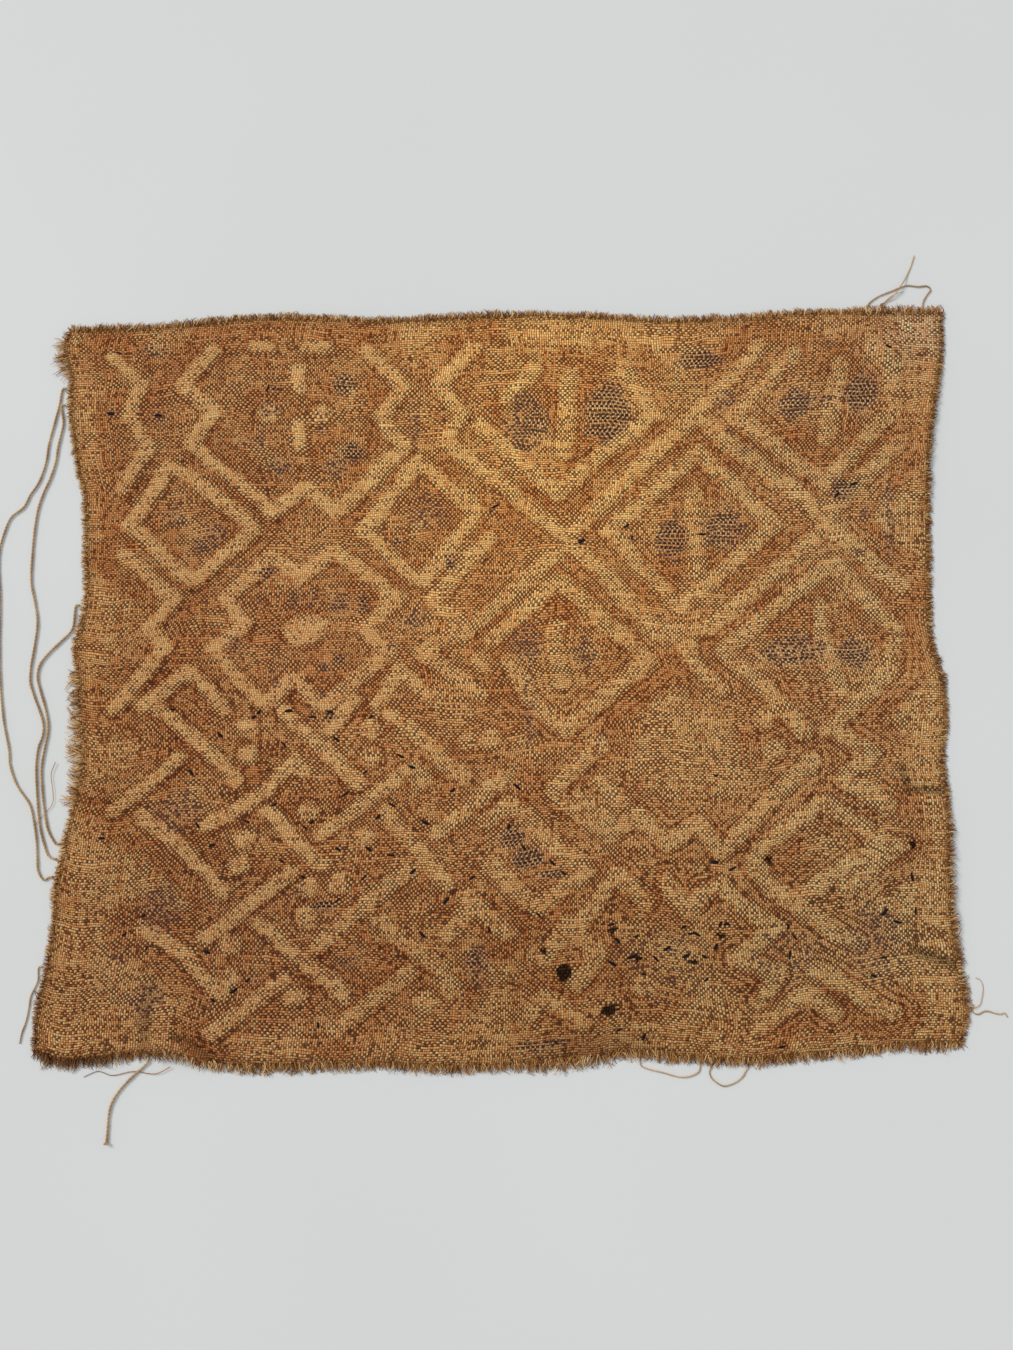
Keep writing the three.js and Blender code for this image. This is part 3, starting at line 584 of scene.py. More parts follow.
def cloth_place(s, t):
    """A Coons patch: s runs from the left edge to the right, and t from the top edge to the bottom."""
    s, t = s[:, None], t[:, None]
    top, bottom = edge_at("top", s[:, 0]), edge_at("bottom", s[:, 0])
    left, right = edge_at("left", t[:, 0]), edge_at("right", t[:, 0])
    a, b = EDGES["top"][0], EDGES["top"][-1]
    c, d = EDGES["bottom"][0], EDGES["bottom"][-1]
    corners = (1 - s) * (1 - t) * a + s * (1 - t) * b + (1 - s) * t * c + s * t * d
    return (1 - t) * top + t * bottom + (1 - s) * left + s * right - corners


def border_lift(s, t):
    """Lift of the rim, fading out over the first few millimetres of cloth."""
    lift = np.zeros(s.shape)
    for edge, share, depth in (("left", t, s), ("right", t, 1 - s), ("top", s, t), ("bottom", s, 1 - t)):
        lift = np.maximum(lift, lift_at(edge, share) * (1 - smooth_step(depth, 0, RIM["lift"])))
    return lift


def wavy(x, y, seed):
    """Slow unevenness between -1 and 1, the same on every run."""
    total = 0
    for k, (fx, fy) in enumerate(((1.0, 0.6), (-0.7, 1.1), (1.7, 1.3), (0.4, -2.1))):
        total = total + np.sin(fx * x + fy * y + 1.7 * k + seed) / (k + 1.5)
    return total / 1.7


def lozenge(column, row, patch):
    """1 inside a patch and 0 outside it: its outline is between a diamond, power 1, and an oval, power 2."""
    x, y, half_width, half_height = patch
    power = 1.4
    reach = (np.abs(column - x) / half_width) ** power + (np.abs(row - y) / half_height) ** power
    return 1 - smooth_step(reach ** (1 / power), 0.75, 1.25)


def sheet_values(s, t):
    """Everything that varies over the cloth: its height, and the masks that its finish reads."""
    column, row = s * CHART["columns"], t * CHART["rows"]
    bent = [place + BEND * wavy(column * 0.9, row * 0.9, seed) for place, seed in ((column, 1), (row, 4))]
    to_spot = np.maximum(distance_to(SPOT_SEGMENTS, *bent) - WIDER["spot"], 0)
    to_heart = np.maximum(distance_to(HEART_SEGMENTS, *bent) - WIDER["heart"], 0)
    nearest = np.minimum(distance_to(BAND_SEGMENTS, *bent), np.minimum(to_spot, to_heart))
    band = 1 - smooth_step(nearest, BAND_PROFILE["crest"], BAND_PROFILE["foot"])
    clear = 1 - FADING["loss"] * smooth_step(column + FADING["lean"] * row, FADING["from"], FADING["to"])
    faint = 1 - smooth_step(distance_to(FAINT_SEGMENTS, column, row), FAINT["near"], FAINT["far"])
    clear = clear * (1 - FAINT["loss"] * faint)
    clear = clear * (1 - WORN["loss"] * smooth_step(column, WORN["from"], WORN["to"]))
    lower_left = smooth_step(row, *RULED["left end"]) * (1 - smooth_step(column, *RULED["right from"]))
    ruled = smooth_step(column, *RULED["from"]) * (1 - lower_left)
    beside = distance_to(BAND_SEGMENTS, *(place - FLANK["shift"] for place in bent))
    flank = (1 - smooth_step(beside, FLANK["near"], FLANK["far"])) * (1 - band) * clear
    rim = np.minimum(np.minimum(s, 1 - s) * FLAT[0], np.minimum(t, 1 - t) * FLAT[1])
    height = SHEET["border"] + (SHEET["thickness"] - SHEET["border"]) * smooth_step(rim, 0, RIM["slope"])
    uneven = 0.85 + 0.25 * wavy(column * 0.5, row * 0.5, 7)
    height = height + SHEET["band"] * band * (0.5 + 0.5 * clear) * uneven
    height = height - FOOT["depth"] * np.exp(-((nearest - FOOT["at"]) / FOOT["reach"]) ** 2)
    for size, across, down, seed in WAVES:
        height = height + size * wavy(column * across, row * down, seed)
    crease = np.zeros(s.shape)
    for fold in FOLDS:
        near = 1 - smooth_step(distance_to(path_segments(fold["path"]), column, row), 0, fold["reach"])
        height = height + fold["height"] * near
        # A deep fold is marked for painted shade inside it.
        if fold["height"] < -DEEP:
            crease = np.maximum(crease, near)
    dye, stain = np.zeros(s.shape), np.zeros(s.shape)
    for *place, strength in (patch for patches in DYE.values() for patch in rows_of(patches)):
        dye = np.maximum(dye, strength * lozenge(column, row, place))
    for place in rows_of(STAINS):
        stain = np.maximum(stain, lozenge(column, row, place))
    tone = np.ones((len(s), 3))
    for x, y, half_width, half_height, tint in TONES.values():
        near = np.exp(-((column - x) / half_width) ** 2 - ((row - y) / half_height) ** 2)[:, None]
        tone *= 1 + near * (np.array(tint) - 1)
    return {"height": height, "tone": tone, "band": band, "near": nearest, "clear": clear, "ruled": ruled,
            "flank": flank, "rim": rim, "dye": dye, "stain": stain, "crease": crease}


# %% Build the sheet
def make_cloth():
    """A closed sheet; the values come back in the order of its points."""
    bm = bmesh.new()
    bmesh.ops.create_grid(bm, x_segments=SHEET["across"], y_segments=SHEET["down"], size=0.5)
    bm.verts.index_update()
    under = bmesh.ops.extrude_face_region(bm, geom=bm.faces[:], use_keep_orig=True)
    upper = {part for part in under["geom"] if isinstance(part, bmesh.types.BMVert)}
    grid = np.array([vertex.co[:2] for vertex in bm.verts])
    s, t = grid[:, 0] + 0.5, 0.5 - grid[:, 1]
    places, values, lift = cloth_place(s, t), sheet_values(s, t), border_lift(s, t)
    bm.verts.index_update()
    uv = bm.loops.layers.uv.new("weave")
    for face in bm.faces:
        for loop in face.loops:
            loop[uv].uv = (s[loop.vert.index], t[loop.vert.index])
    for k, vertex in enumerate(bm.verts):
        height = values["height"][k] if vertex in upper else 0.0
        vertex.co = (places[k][0], places[k][1], height + lift[k])
    bmesh.ops.recalc_face_normals(bm, faces=bm.faces[:])
    for face in bm.faces:
        face.smooth = True
        face.material_index = 1 if face.normal.z < -0.5 else 0
    mesh = bpy.data.meshes.new("cloth")
    bm.to_mesh(mesh)
    bm.free()
    return mesh, values


cloth_mesh, cloth_values = make_cloth()
FAR = 4.0  # masks are cut off here, in grid squares: nothing reads a distance beyond it
for name in ("band", "near", "clear", "ruled", "flank", "rim", "dye", "stain", "crease"):
    values = np.minimum(cloth_values[name], FAR).astype(np.float32)
    cloth_mesh.attributes.new(name, "FLOAT", "POINT").data.foreach_set("value", values)
tones = np.c_[cloth_values["tone"], np.ones(len(cloth_mesh.vertices))].astype(np.float32)
cloth_mesh.attributes.new("tone", "FLOAT_COLOR", "POINT").data.foreach_set("color", tones.ravel())
cloth = add_piece("woven_cloth", cloth_mesh, "raffia_weave", "cloth")
print("cloth:", len(cloth_mesh.vertices), "points,", len(cloth_mesh.polygons), "faces")

# %% [markdown]
# ## The fringe
# Where the cloth was cut, its thread ends have frayed into short tufts of fibre, longer along the bottom
# and on the left side. Hair particles could grow them, but they would not leave the scene as a mesh. Here
# each fibre is a short tapered spline of five points, and all of one edge's fibres are one curve that
# becomes one mesh. Each thread of the cloth has a few fibres that start inside the edge, so no bare edge
# shows between them.

# %% Fibres of the four edges
FRINGES = {
    "top": {"threads": 375, "fibres": 6, "reach": 3.4 * MM, "pale": 0.4},
    "bottom": {"threads": 375, "fibres": 6, "reach": 4.8 * MM, "pale": 0.44},
    "left": {"threads": 315, "fibres": 5, "reach": 2.6 * MM, "pale": 0.56},
    "right": {"threads": 315, "fibres": 5, "reach": 2.9 * MM, "pale": 0.36},
}
LONG_TUFTS = [
    {"edge": "left", "from": 0.49, "to": 0.67, "reach": 7.5 * MM},
    {"edge": "left", "from": 0.02, "to": 0.07, "reach": 6.5 * MM},
    {"edge": "bottom", "from": 0.52, "to": 0.62, "reach": 7.0 * MM},
    {"edge": "bottom", "from": 0.0, "to": 0.1, "reach": 6.2 * MM},
    {"edge": "right", "from": 0.7, "to": 0.96, "reach": 3.9 * MM},
    {"edge": "top", "from": 0.9, "to": 0.97, "reach": 5.2 * MM},
]
WISP = {"tip": 0.6, "shade": 0.45, "along": 0.6}
FIBRE = {"radius": 0.34 * MM, "tip": 0.35, "points": 5, "sides": 4, "inside": 2.6 * MM, "floor": 0.3 * MM}
chance = np.random.default_rng(6536)


def fibre(edge, share, reach, count):
    """One fibre: out from inside the edge, drooping to the table, with a bend of its own."""
    x, y = edge_at(edge, share)
    nx, ny = OUTWARD[edge]
    lift = float(lift_at(edge, share))
    lean, curl = chance.normal(0, 0.42), chance.normal(0, 0.22)
    start, drop = -chance.uniform(0.1, 1) * FIBRE["inside"], chance.uniform(0.3, 1)
    high = chance.uniform(0.6, 2.3) * MM
    u = np.linspace(0, 1, count)
    out = start + (reach - start) * u
    side = lean * reach * u ** 1.3 + curl * reach * np.sin(3.2 * u)
    z = high + 0.7 * MM * np.sin(np.pi * u) * chance.uniform(0, 1) - (high - FIBRE["floor"]) * drop * u ** 1.4
    z = np.maximum(z, FIBRE["floor"]) + lift
    return np.stack([x + nx * out + abs(ny) * side, y + ny * out + abs(nx) * side, z], -1)


def reach_at(edge, share, plain):
    for row in LONG_TUFTS:
        if row["edge"] == edge and row["from"] < share < row["to"]:
            return row["reach"]
    return plain


def make_fringe(edge, threads, fibres, reach, pale, wisps=()):
    """All fibres of one edge as one mesh, each with its own paleness, and how far along it a point is."""
    count = FIBRE["points"]
    curve = new_curve("fibres " + edge, FIBRE["radius"])
    shades, along, clump = [], [], 1.0
    for k in range(threads):
        clump = 0.55 * clump + 0.45 * chance.uniform(0.45, 1.45)
        for _ in range(fibres):
            share = (k + chance.uniform(0, 1)) / threads
            length = reach_at(edge, share, reach) * clump * chance.uniform(0.5, 1.25)
            thick = chance.uniform(0.6, 1.25)
            radii = thick * np.linspace(1, FIBRE["tip"], count)
            add_spline(curve, fibre(edge, share, length, count), radii)
            shades.append([np.clip(chance.normal(pale, 0.3), 0, 1)] * count)
            along.append(list(np.linspace(0, 1, count)))
    for points, width in wisps:
        line = smooth_line(points, PER_SPAN["wisp"], CENTRIPETAL) - (*CENTRE, 0)
        radii = width / 2 / FIBRE["radius"] * np.linspace(1, WISP["tip"], len(line))
        add_spline(curve, line, radii)
        shades.append([WISP["shade"]] * len(line))
        along.append([WISP["along"]] * len(line))
    masks = {"shade": on_rings(shades, FIBRE["sides"]), "along": on_rings(along, FIBRE["sides"])}
    return mesh_of_curve("fibres " + edge, curve, masks=masks)


# %% Long wisps that still hang on the edges: their points, before they are moved, and their width
WISPS = {
    "left": [
        ([(-0.2905, -0.0565, 0.0012), (-0.293, -0.064, 0.0011), (-0.2915, -0.075, 0.001),
          (-0.2915, -0.083, 0.0009), (-0.297, -0.09, 0.0007), (-0.303, -0.0975, 0.0006)], 0.5 * MM),
    ],
    "bottom": [
        ([(-0.211, -0.247, 0.0016), (-0.22, -0.2513, 0.0011), (-0.2345, -0.25, 0.0008),
          (-0.248, -0.2525, 0.0006), (-0.2565, -0.25, 0.0005), (-0.2655, -0.2535, 0.0004)], 0.6 * MM),
    ],
    "top": [
        ([(0.2455, 0.2405, 0.0016), (0.2535, 0.2505, 0.0012), (0.259, 0.2555, 0.0009),
          (0.2665, 0.2585, 0.0008)], 0.6 * MM),
        ([(0.2735, 0.2435, 0.0015), (0.2755, 0.241, 0.0009), (0.2765, 0.2405, 0.0006)], 0.5 * MM),
        ([(0.268, 0.236, 0.0016), (0.2715, 0.2475, 0.0012), (0.2735, 0.2495, 0.0009)], 0.6 * MM),
        ([(0.243, 0.234, 0.0016), (0.2465, 0.2365, 0.0012), (0.2515, 0.239, 0.0009)], 0.5 * MM),
    ],
    "right": [
        ([(0.291, -0.211, 0.0016), (0.2955, -0.211, 0.0011), (0.299, -0.209, 0.0008),
          (0.3005, -0.205, 0.0006), (0.3015, -0.198, 0.0005),
          (0.3, -0.194, 0.0005), (0.297, -0.1925, 0.0006)], 0.5 * MM),
    ],
}
FRINGE_PIECES = []
for edge, row in FRINGES.items():
    mesh = make_fringe(edge, wisps=WISPS.get(edge, ()), **row)
    FRINGE_PIECES.append(add_piece("frayed_" + edge, mesh, "raffia_fray", "fray_" + edge))
    print(edge, "fringe:", len(mesh.polygons), "faces")

# %% [markdown]
# ## Dark stitches and the knot
# Here and there one dyed pile thread has been pulled right through, and lies on the weave as a dark dash 4
# to 7 mm long. Paint would do from far off, but from the side they stand up, so each is a short tapered
# spline on the cloth. The knot at the end of one yarn is a trefoil, the curve that an overhand knot makes
# when its ends join.

# %% Dark stitches: how steeply they fall to the right in degrees, then column,row of each
STITCHES = {
    "level": (5, """4.5,2.5 3.5,8.5 7.5,9 54,21 69.5,3.5 18,37.5 21.5,37.5 8,37.5 20,38 27,46 15,47.5 3,49
        27.5,50.5 54.5,51.5 55.5,57 46,57.5 69.5,58 13,59.5 48.5,62 46.5,67 41.5,67.5 59.5,68 52.5,58"""),
    "falling": (35, """12,40 17.5,40.5 22,40 27.5,41.5 28.5,42.5 9.5,43.5 54.5,43.5 37.5,44.5 30,47.5
        20,48 11,48.5 25.5,50 23,50 18.5,51 20.5,52.5 40,56 30.5,57.5 53,58 61,58.5 46.5,59 53.5,60
        49.5,60.5 46,61 60,62 67,62.5 14,63.5 41,51.5 42,52.5 38.5,50"""),
    "rising": (-35, """36,18.5 43.5,22 15.5,37.5 25,38 15,38 24.5,43 32,44.5 23,45 17,46 26,47 20.5,47.5
        12.5,50 29.5,52 56,52 34.5,52.5 25.5,52.5 23.5,54.5 32.5,54.5 7.5,56.5 55,57 68.5,57 52,57.5 6,58
        48,58.5 50.5,59.5 52,60 47.5,60.5 68,61 16.5,61.5 53.5,62 15.5,62.5 66,18 67.5,17 47.5,20.5"""),
    "steep": (-75, """17,7 48,21.5 37,48 36,57 60.5,57.5 54.5,59 8,59.5 60.5,60 22.5,65.5 48.5,67.5 71,54
        71,57"""),
}
STITCH = {"radius": 1.25 * MM, "sunk": 0.65 * MM, "arch": 0.2 * MM, "length": (4.2 * MM, 7.2 * MM),
          "points": 6}


def stitch_points(column, row, fall):
    """Points along one stitch: an arched, slightly bent line that dips into the cloth at both ends."""
    s, t = np.array([column / CHART["columns"]]), np.array([row / CHART["rows"]])
    middle, height = cloth_place(s, t)[0], float(sheet_values(s, t)["height"][0])
    length, turn = chance.uniform(*STITCH["length"]), math.radians(chance.normal(-fall, 12))
    u = np.linspace(-0.5, 0.5, STITCH["points"])
    bend = chance.normal(0, 0.3) * MM * np.cos(np.pi * u)
    x = middle[0] + length * u * math.cos(turn) - bend * math.sin(turn)
    y = middle[1] + length * u * math.sin(turn) + bend * math.cos(turn)
    z = height + STITCH["arch"] * np.cos(np.pi * u) - STITCH["sunk"]
    return np.stack([x, y, z], -1)


def make_stitches():
    curve = new_curve("dark stitches", STITCH["radius"], 1)
    taper = 0.4 + 0.6 * np.cos(np.pi * np.linspace(-0.5, 0.5, STITCH["points"])) ** 0.6
    for fall, places in STITCHES.values():
        for column, row in rows_of(places):
            points = stitch_points(column, row, fall)
            add_spline(curve, points, chance.uniform(0.7, 1.05) * taper)
    return mesh_of_curve("dark stitches", curve)


stitches = add_piece("dark_stitches", make_stitches(), "raffia_weave")
print("stitches:", len(stitches.data.polygons), "faces")

# %% The knot at the end of the longest bottom yarn
KNOT = {"size": 0.341 * MM, "radius": 0.55 * MM, "points": 48, "beyond": 0.4 * MM, "clear": 0.1 * MM}


def make_knot(end):
    turns = np.linspace(0, 2 * np.pi, KNOT["points"], endpoint=False)
    x = np.sin(turns) + 2 * np.sin(2 * turns)
    y = np.cos(turns) - 2 * np.cos(2 * turns)
    points = np.stack([x, 0.8 * np.sin(3 * turns), y], -1) * KNOT["size"]
    lowest = points[:, 2].min() - KNOT["radius"]
    points += (end[0], end[1] - KNOT["beyond"], max(end[2], KNOT["clear"] - lowest))
    curve = new_curve("knot", KNOT["radius"], 2)
    add_spline(curve, points, np.ones(len(points))).use_cyclic_u = True
    return mesh_of_curve("knot", curve)


knot = add_piece("yarn_knot", make_knot(YARN_LINES["yarn_bottom_knotted"][-1]), "raffia_yarn")
print("knot:", len(knot.data.polygons), "faces")

# %% [markdown]
# ## Finishes: how the nodes are wired
# Every finish is procedural. Writing each node out would hide the idea, so a small helper adds nodes and
# joins them: a value may be a number, a colour, or the output of another node. Colours are six hex digits,
# as they look on a screen, and are turned into linear light in one place.

# %% A helper for wiring nodes, and one for making a finish with it
def screen(code):
    """A screen colour as six hex digits, in linear light."""
    parts = [int(code[k:k + 2], 16) / 255 for k in (0, 2, 4)]
    return (*[c / 12.92 if c <= 0.04045 else ((c + 0.055) / 1.055) ** 2.4 for c in parts], 1.0)


class Wiring:
    def __init__(self, tree):
        self.tree = tree

    def join(self, value, socket):
        """A link from another node where value is an output, and a number or a colour otherwise."""
        if isinstance(value, bpy.types.NodeSocket):
            self.tree.links.new(value, socket)
        else:
            socket.default_value = screen(value) if isinstance(value, str) else value

    def add(self, kind, inputs=None, **settings):
        node = self.tree.nodes.new(kind)
        for name, value in settings.items():
            setattr(node, name, value)
        for name, value in (inputs or {}).items():
            self.join(value, node.inputs[name])
        return node

    def math(self, operation, *values):
        return self.add("ShaderNodeMath", dict(enumerate(values)), operation=operation).outputs[0]

    def times(self, value, *others):
        for other in others:
            value = self.math("MULTIPLY", value, other)
        return value

    def plus(self, value, *others):
        for other in others:
            value = self.math("ADD", value, other)
        return value

    def minus(self, value, other):
        return self.math("SUBTRACT", value, other)

    def floor(self, value):
        return self.math("FLOOR", value)

    def fade(self, value, low, high, first=0.0, last=1.0):
        """Goes smoothly from first to last as value goes from low to high."""
        inputs = {0: value, 1: low, 2: high, 3: first, 4: last}
        return self.add("ShaderNodeMapRange", inputs, interpolation_type="SMOOTHSTEP").outputs[0]

    def number(self, share, a, b):
        return self.add("ShaderNodeMix", {0: share, 2: a, 3: b}, data_type="FLOAT").outputs[0]

    def colour(self, share, a, b, how="MIX"):
        return self.add("ShaderNodeMix", {0: share, 6: a, 7: b}, data_type="RGBA", blend_type=how).outputs[2]

    def noise(self, vector, scale, detail=2.0):
        return self.add("ShaderNodeTexNoise", {"Vector": vector, "Scale": scale, "Detail": detail}).outputs[0]

    def vector(self, x, y):
        return self.add("ShaderNodeCombineXYZ", {0: x, 1: y}).outputs[0]

    def parts(self, vector):
        return self.add("ShaderNodeSeparateXYZ", {0: vector}).outputs[:2]

    def dice(self, x, y):
        """A number from 0 to 1 that is the same wherever x and y are the same."""
        inputs = {"Vector": self.vector(x, y)}
        return self.add("ShaderNodeTexWhiteNoise", inputs, noise_dimensions="2D").outputs[0]

    def mask(self, name, output="Fac"):
        return self.add("ShaderNodeAttribute", attribute_name=name).outputs[output]

    def object_place(self):
        return self.add("ShaderNodeTexCoord").outputs["Object"]

    def weave_place(self):
        return self.add("ShaderNodeUVMap", uv_map="weave").outputs[0]

    def bump(self, height, strength, distance):
        inputs = {"Height": height, "Strength": strength, "Distance": distance}
        return self.add("ShaderNodeBump", inputs).outputs[0]


def make_finish(name, wire):
    """A material whose shader gets what wire returns: the name of each socket, and its value."""
    material = bpy.data.materials.new(name)
    material.use_nodes = True
    w = Wiring(material.node_tree)
    shader = w.tree.nodes["Principled BSDF"]
    for socket, value in wire(w).items():
        w.join(value, shader.inputs[socket])
    return material


# %% [markdown]
# ## Plain weave
# Raffia cloth of this kind has one thread over and one under, with 6 or 7 threads to the centimetre.
# Modelling 118,000 crossings would be too heavy, so the weave is a node group. It is given a place counted
# in threads: the whole part names the crossing, and the rest is the place inside it. Where warp and weft
# change over, the thread on top makes a bead. A random number for each crossing makes some beads pale, and
# another one that changes slowly along a thread gives it streaks, as strips of leaf have.

# %% The weave as a node group
WEAVE_OUTPUTS = ("Height", "Gap", "Speckle", "Streak", "Top")
STREAKS = {"weft": (0.04, 3.7), "warp": (4.3, 0.035)}  # steps in the noise for each thread, across and down


def streaks(w, x, y, steps):
    """A random number that changes slowly along a thread and jumps at the next one."""
    return w.noise(w.vector(w.times(x, steps[0]), w.times(y, steps[1])), 1.0)


def make_weave_group():
    tree = bpy.data.node_groups.new("plain weave", "ShaderNodeTree")
    tree.interface.new_socket("Threads", in_out="INPUT", socket_type="NodeSocketVector")
    tree.interface.new_socket("Ribs", in_out="INPUT", socket_type="NodeSocketFloat")
    for name in WEAVE_OUTPUTS:
        tree.interface.new_socket(name, in_out="OUTPUT", socket_type="NodeSocketFloat")
    w = Wiring(tree)
    given = w.add("NodeGroupInput").outputs
    x, y = w.parts(given["Threads"])
    column, row = w.floor(x), w.floor(y)
    off_x = w.math("ABSOLUTE", w.minus(w.minus(x, column), 0.5))
    off_y = w.math("ABSOLUTE", w.minus(w.minus(y, row), 0.5))
    warp_on_top = w.math("FLOORED_MODULO", w.plus(column, row), 2.0)
    across, along = w.number(warp_on_top, off_y, off_x), w.number(warp_on_top, off_x, off_y)
    bead = w.times(w.fade(across, 0.12, 0.5, 1.0, 0.0), w.fade(along, 0.2, 0.5, 1.0, 0.45))
    # The lines between threads give the Gap output, where the finish paints shade.
    row_line = w.times(w.fade(off_y, 0.24, 0.48), w.number(given["Ribs"], 0.35, 1.0))
    column_line = w.times(w.fade(off_x, 0.26, 0.48), w.number(given["Ribs"], 1.0, 0.35))
    speckle = w.dice(column, row)
    weft, warp = streaks(w, x, row, STREAKS["weft"]), streaks(w, column, y, STREAKS["warp"])
    made = (w.times(bead, w.number(speckle, 0.75, 1.0)), w.math("MAXIMUM", row_line, column_line), speckle,
            w.number(warp_on_top, weft, warp), warp_on_top)
    w.add("NodeGroupOutput", dict(zip(WEAVE_OUTPUTS, made)))
    return tree


weave_group = make_weave_group()
print("weave group:", len(weave_group.nodes), "nodes")

# %% [markdown]
# ## The woven side
# The colour goes on in layers, each in its own short step. First comes how pale each thread is: paler on
# the crests, darker at the feet of the bands and on their lower right flanks, where shade is painted, ruled
# with faint rows of pile between them, and sooty here and there in the lower half. Then come the gaps
# between threads, painted dark as shade, the dye as short dashes, stains, painted shade in the deep
# creases, dirt at the rim and the broad tones. Every step reads masks that were stored on the
# sheet's points, so the colours follow the same chart as the relief.

# %% Masks of the bands, and how pale each thread is
THREADS = {"across": 375, "down": 315}
WANDER = ((9.0, 7.0), (46.0, 2.2))  # how far a thread strays: the noise's scale, and threads
OTHER_NOISE = (7.3, 3.1)  # a place in the noise that is far from the first
PILE_LINE = 0.6  # distance between the rows of pile beside a band, in grid squares


def thread_places(w, uv):
    """The UV place counted in threads, wandering a little as hand-laid threads do."""
    x, y = w.parts(uv)
    shifted = w.vector(*(w.plus(place, shift) for place, shift in zip((x, y), OTHER_NOISE)))
    found = []
    for place, count, base in ((x, THREADS["across"], uv), (y, THREADS["down"], shifted)):
        slow, quick = (w.times(w.minus(w.noise(base, scale), 0.5), reach) for scale, reach in WANDER)
        found.append(w.plus(w.times(place, float(count)), w.plus(slow, quick)))
    return found


def band_masks(w, uv, down):
    """Crests and feet of the bands, the ground between them, and the rows of pile that show in it."""
    near = w.plus(w.mask("near"), w.fade(w.noise(uv, 90.0), 0.2, 0.8, -0.06, 0.06))
    clear = w.mask("clear")
    crest = w.times(w.fade(near, 0.3, 0.68, 1.0, 0.0), clear)
    # The foot mask is where shade is painted along the foot of each band.
    foot = w.times(w.fade(near, 0.55, 0.8), w.fade(near, 0.85, 1.25, 1.0, 0.0),
                   w.fade(clear, 0.3, 0.9, 0.3, 1.0))
    between = w.times(w.fade(near, 0.6, 0.9), w.fade(near, 2.2, 3.6, 1.0, 0.0))
    rows = w.times(w.math("SINE", w.times(near, 2 * math.pi / PILE_LINE)), between,
                   w.fade(w.mask("ruled"), 0.0, 1.0, 0.05, 0.15), w.fade(down, 0.4, 0.6, 1.0, 1.9),
                   w.fade(near, 1.9, 2.7, 1.0, 0.0))
    return {"near": near, "crest": crest, "foot": foot, "between": between, "rows": rows}


def paleness(w, uv, down, threads, weave, bands, blotch, patch):
    """How pale each thread is: about 0 is umber, a half is ochre and 1 is straw."""
    luck = w.dice(*(w.floor(place) for place in reversed(threads)))
    beads = w.times(w.minus(weave["Top"], 0.5), w.fade(weave["Speckle"], 0.0, 1.0, 0.35, 1.2),
                    w.fade(w.mask("rim"), 10 * MM, 36 * MM, 0.6, 1.0))
    sooty = w.times(w.fade(w.noise(uv, 24.0, 4.0), 0.48, 0.66), w.fade(luck, 0.1, 0.6, 1.0, 0.0),
                    w.fade(down, 0.45, 0.8, -0.12, -0.5), w.fade(bands["near"], 0.5, 0.95, 0.1, 1.0))
    streaks = w.fade(weave["Streak"], 0.3, 0.7, -0.34, 0.34)
    grain = w.times(w.minus(w.noise(uv, 150.0, 3.0), 0.5), w.fade(down, 0.35, 0.65, 0.9, 1.7))
    broad = w.plus(w.fade(blotch, 0.3, 0.7, -0.12, 0.12), w.fade(patch, 0.3, 0.7, -0.05, 0.06))
    # Painted shade along the foot of each band, stronger in the lower half.
    feet = w.times(bands["foot"], w.fade(down, 0.4, 0.6, -0.12, -0.3))
    # The flank term below is painted shade on the lower right side of each band.
    return w.plus(beads, w.fade(luck, 0.0, 1.0, 0.2, 0.7), sooty, streaks, grain, broad, feet,
                  w.times(bands["crest"], 0.26), w.times(w.mask("flank"), -0.21), bands["rows"])


# %% The dye, and the whole finish of the woven side
# The darkest colour here is painted shade, for the gaps between threads and inside deep creases.
STRAW, OCHRE, UMBER, PAINTED_SHADE, FIELD = "ffce8a", "f4a864", "7c5034", "1e1004", "dab4a4"
DYE_COLOURS = {"ground": "c4a890", "beads": "e0bc94", "faint dashes": "5c3e38", "dark dashes": "2e1b1a"}
STAINED, DIRT = "170d08", "6e4b2c"
DASH = {"threads": 2.1, "rows": 1.6, "length": 0.66, "height": 0.62}


def dyed(w, colour, threads, top):
    """The colour with dye in it: a darker ground, pale beads, and dashes in brick-laid cells."""
    dye = w.mask("dye")
    across, down = w.math("DIVIDE", threads[0], DASH["threads"]), w.math("DIVIDE", threads[1], DASH["rows"])
    pair = w.floor(down)
    across = w.plus(across, w.times(pair, 0.5))
    cell = w.floor(across)
    dashes = w.times(w.math("LESS_THAN", w.minus(across, cell), DASH["length"]),
                     w.math("LESS_THAN", w.minus(down, pair), DASH["height"]),
                     w.math("LESS_THAN", w.dice(cell, pair), w.times(dye, 1.25)), 0.9)
    ink = w.colour(w.fade(dye, 0.25, 0.85), DYE_COLOURS["faint dashes"], DYE_COLOURS["dark dashes"])
    colour = w.colour(w.times(dye, 0.35), colour, DYE_COLOURS["ground"], "MULTIPLY")
    colour = w.colour(w.times(dye, top, 0.45), colour, DYE_COLOURS["beads"])
    return w.colour(dashes, colour, ink)


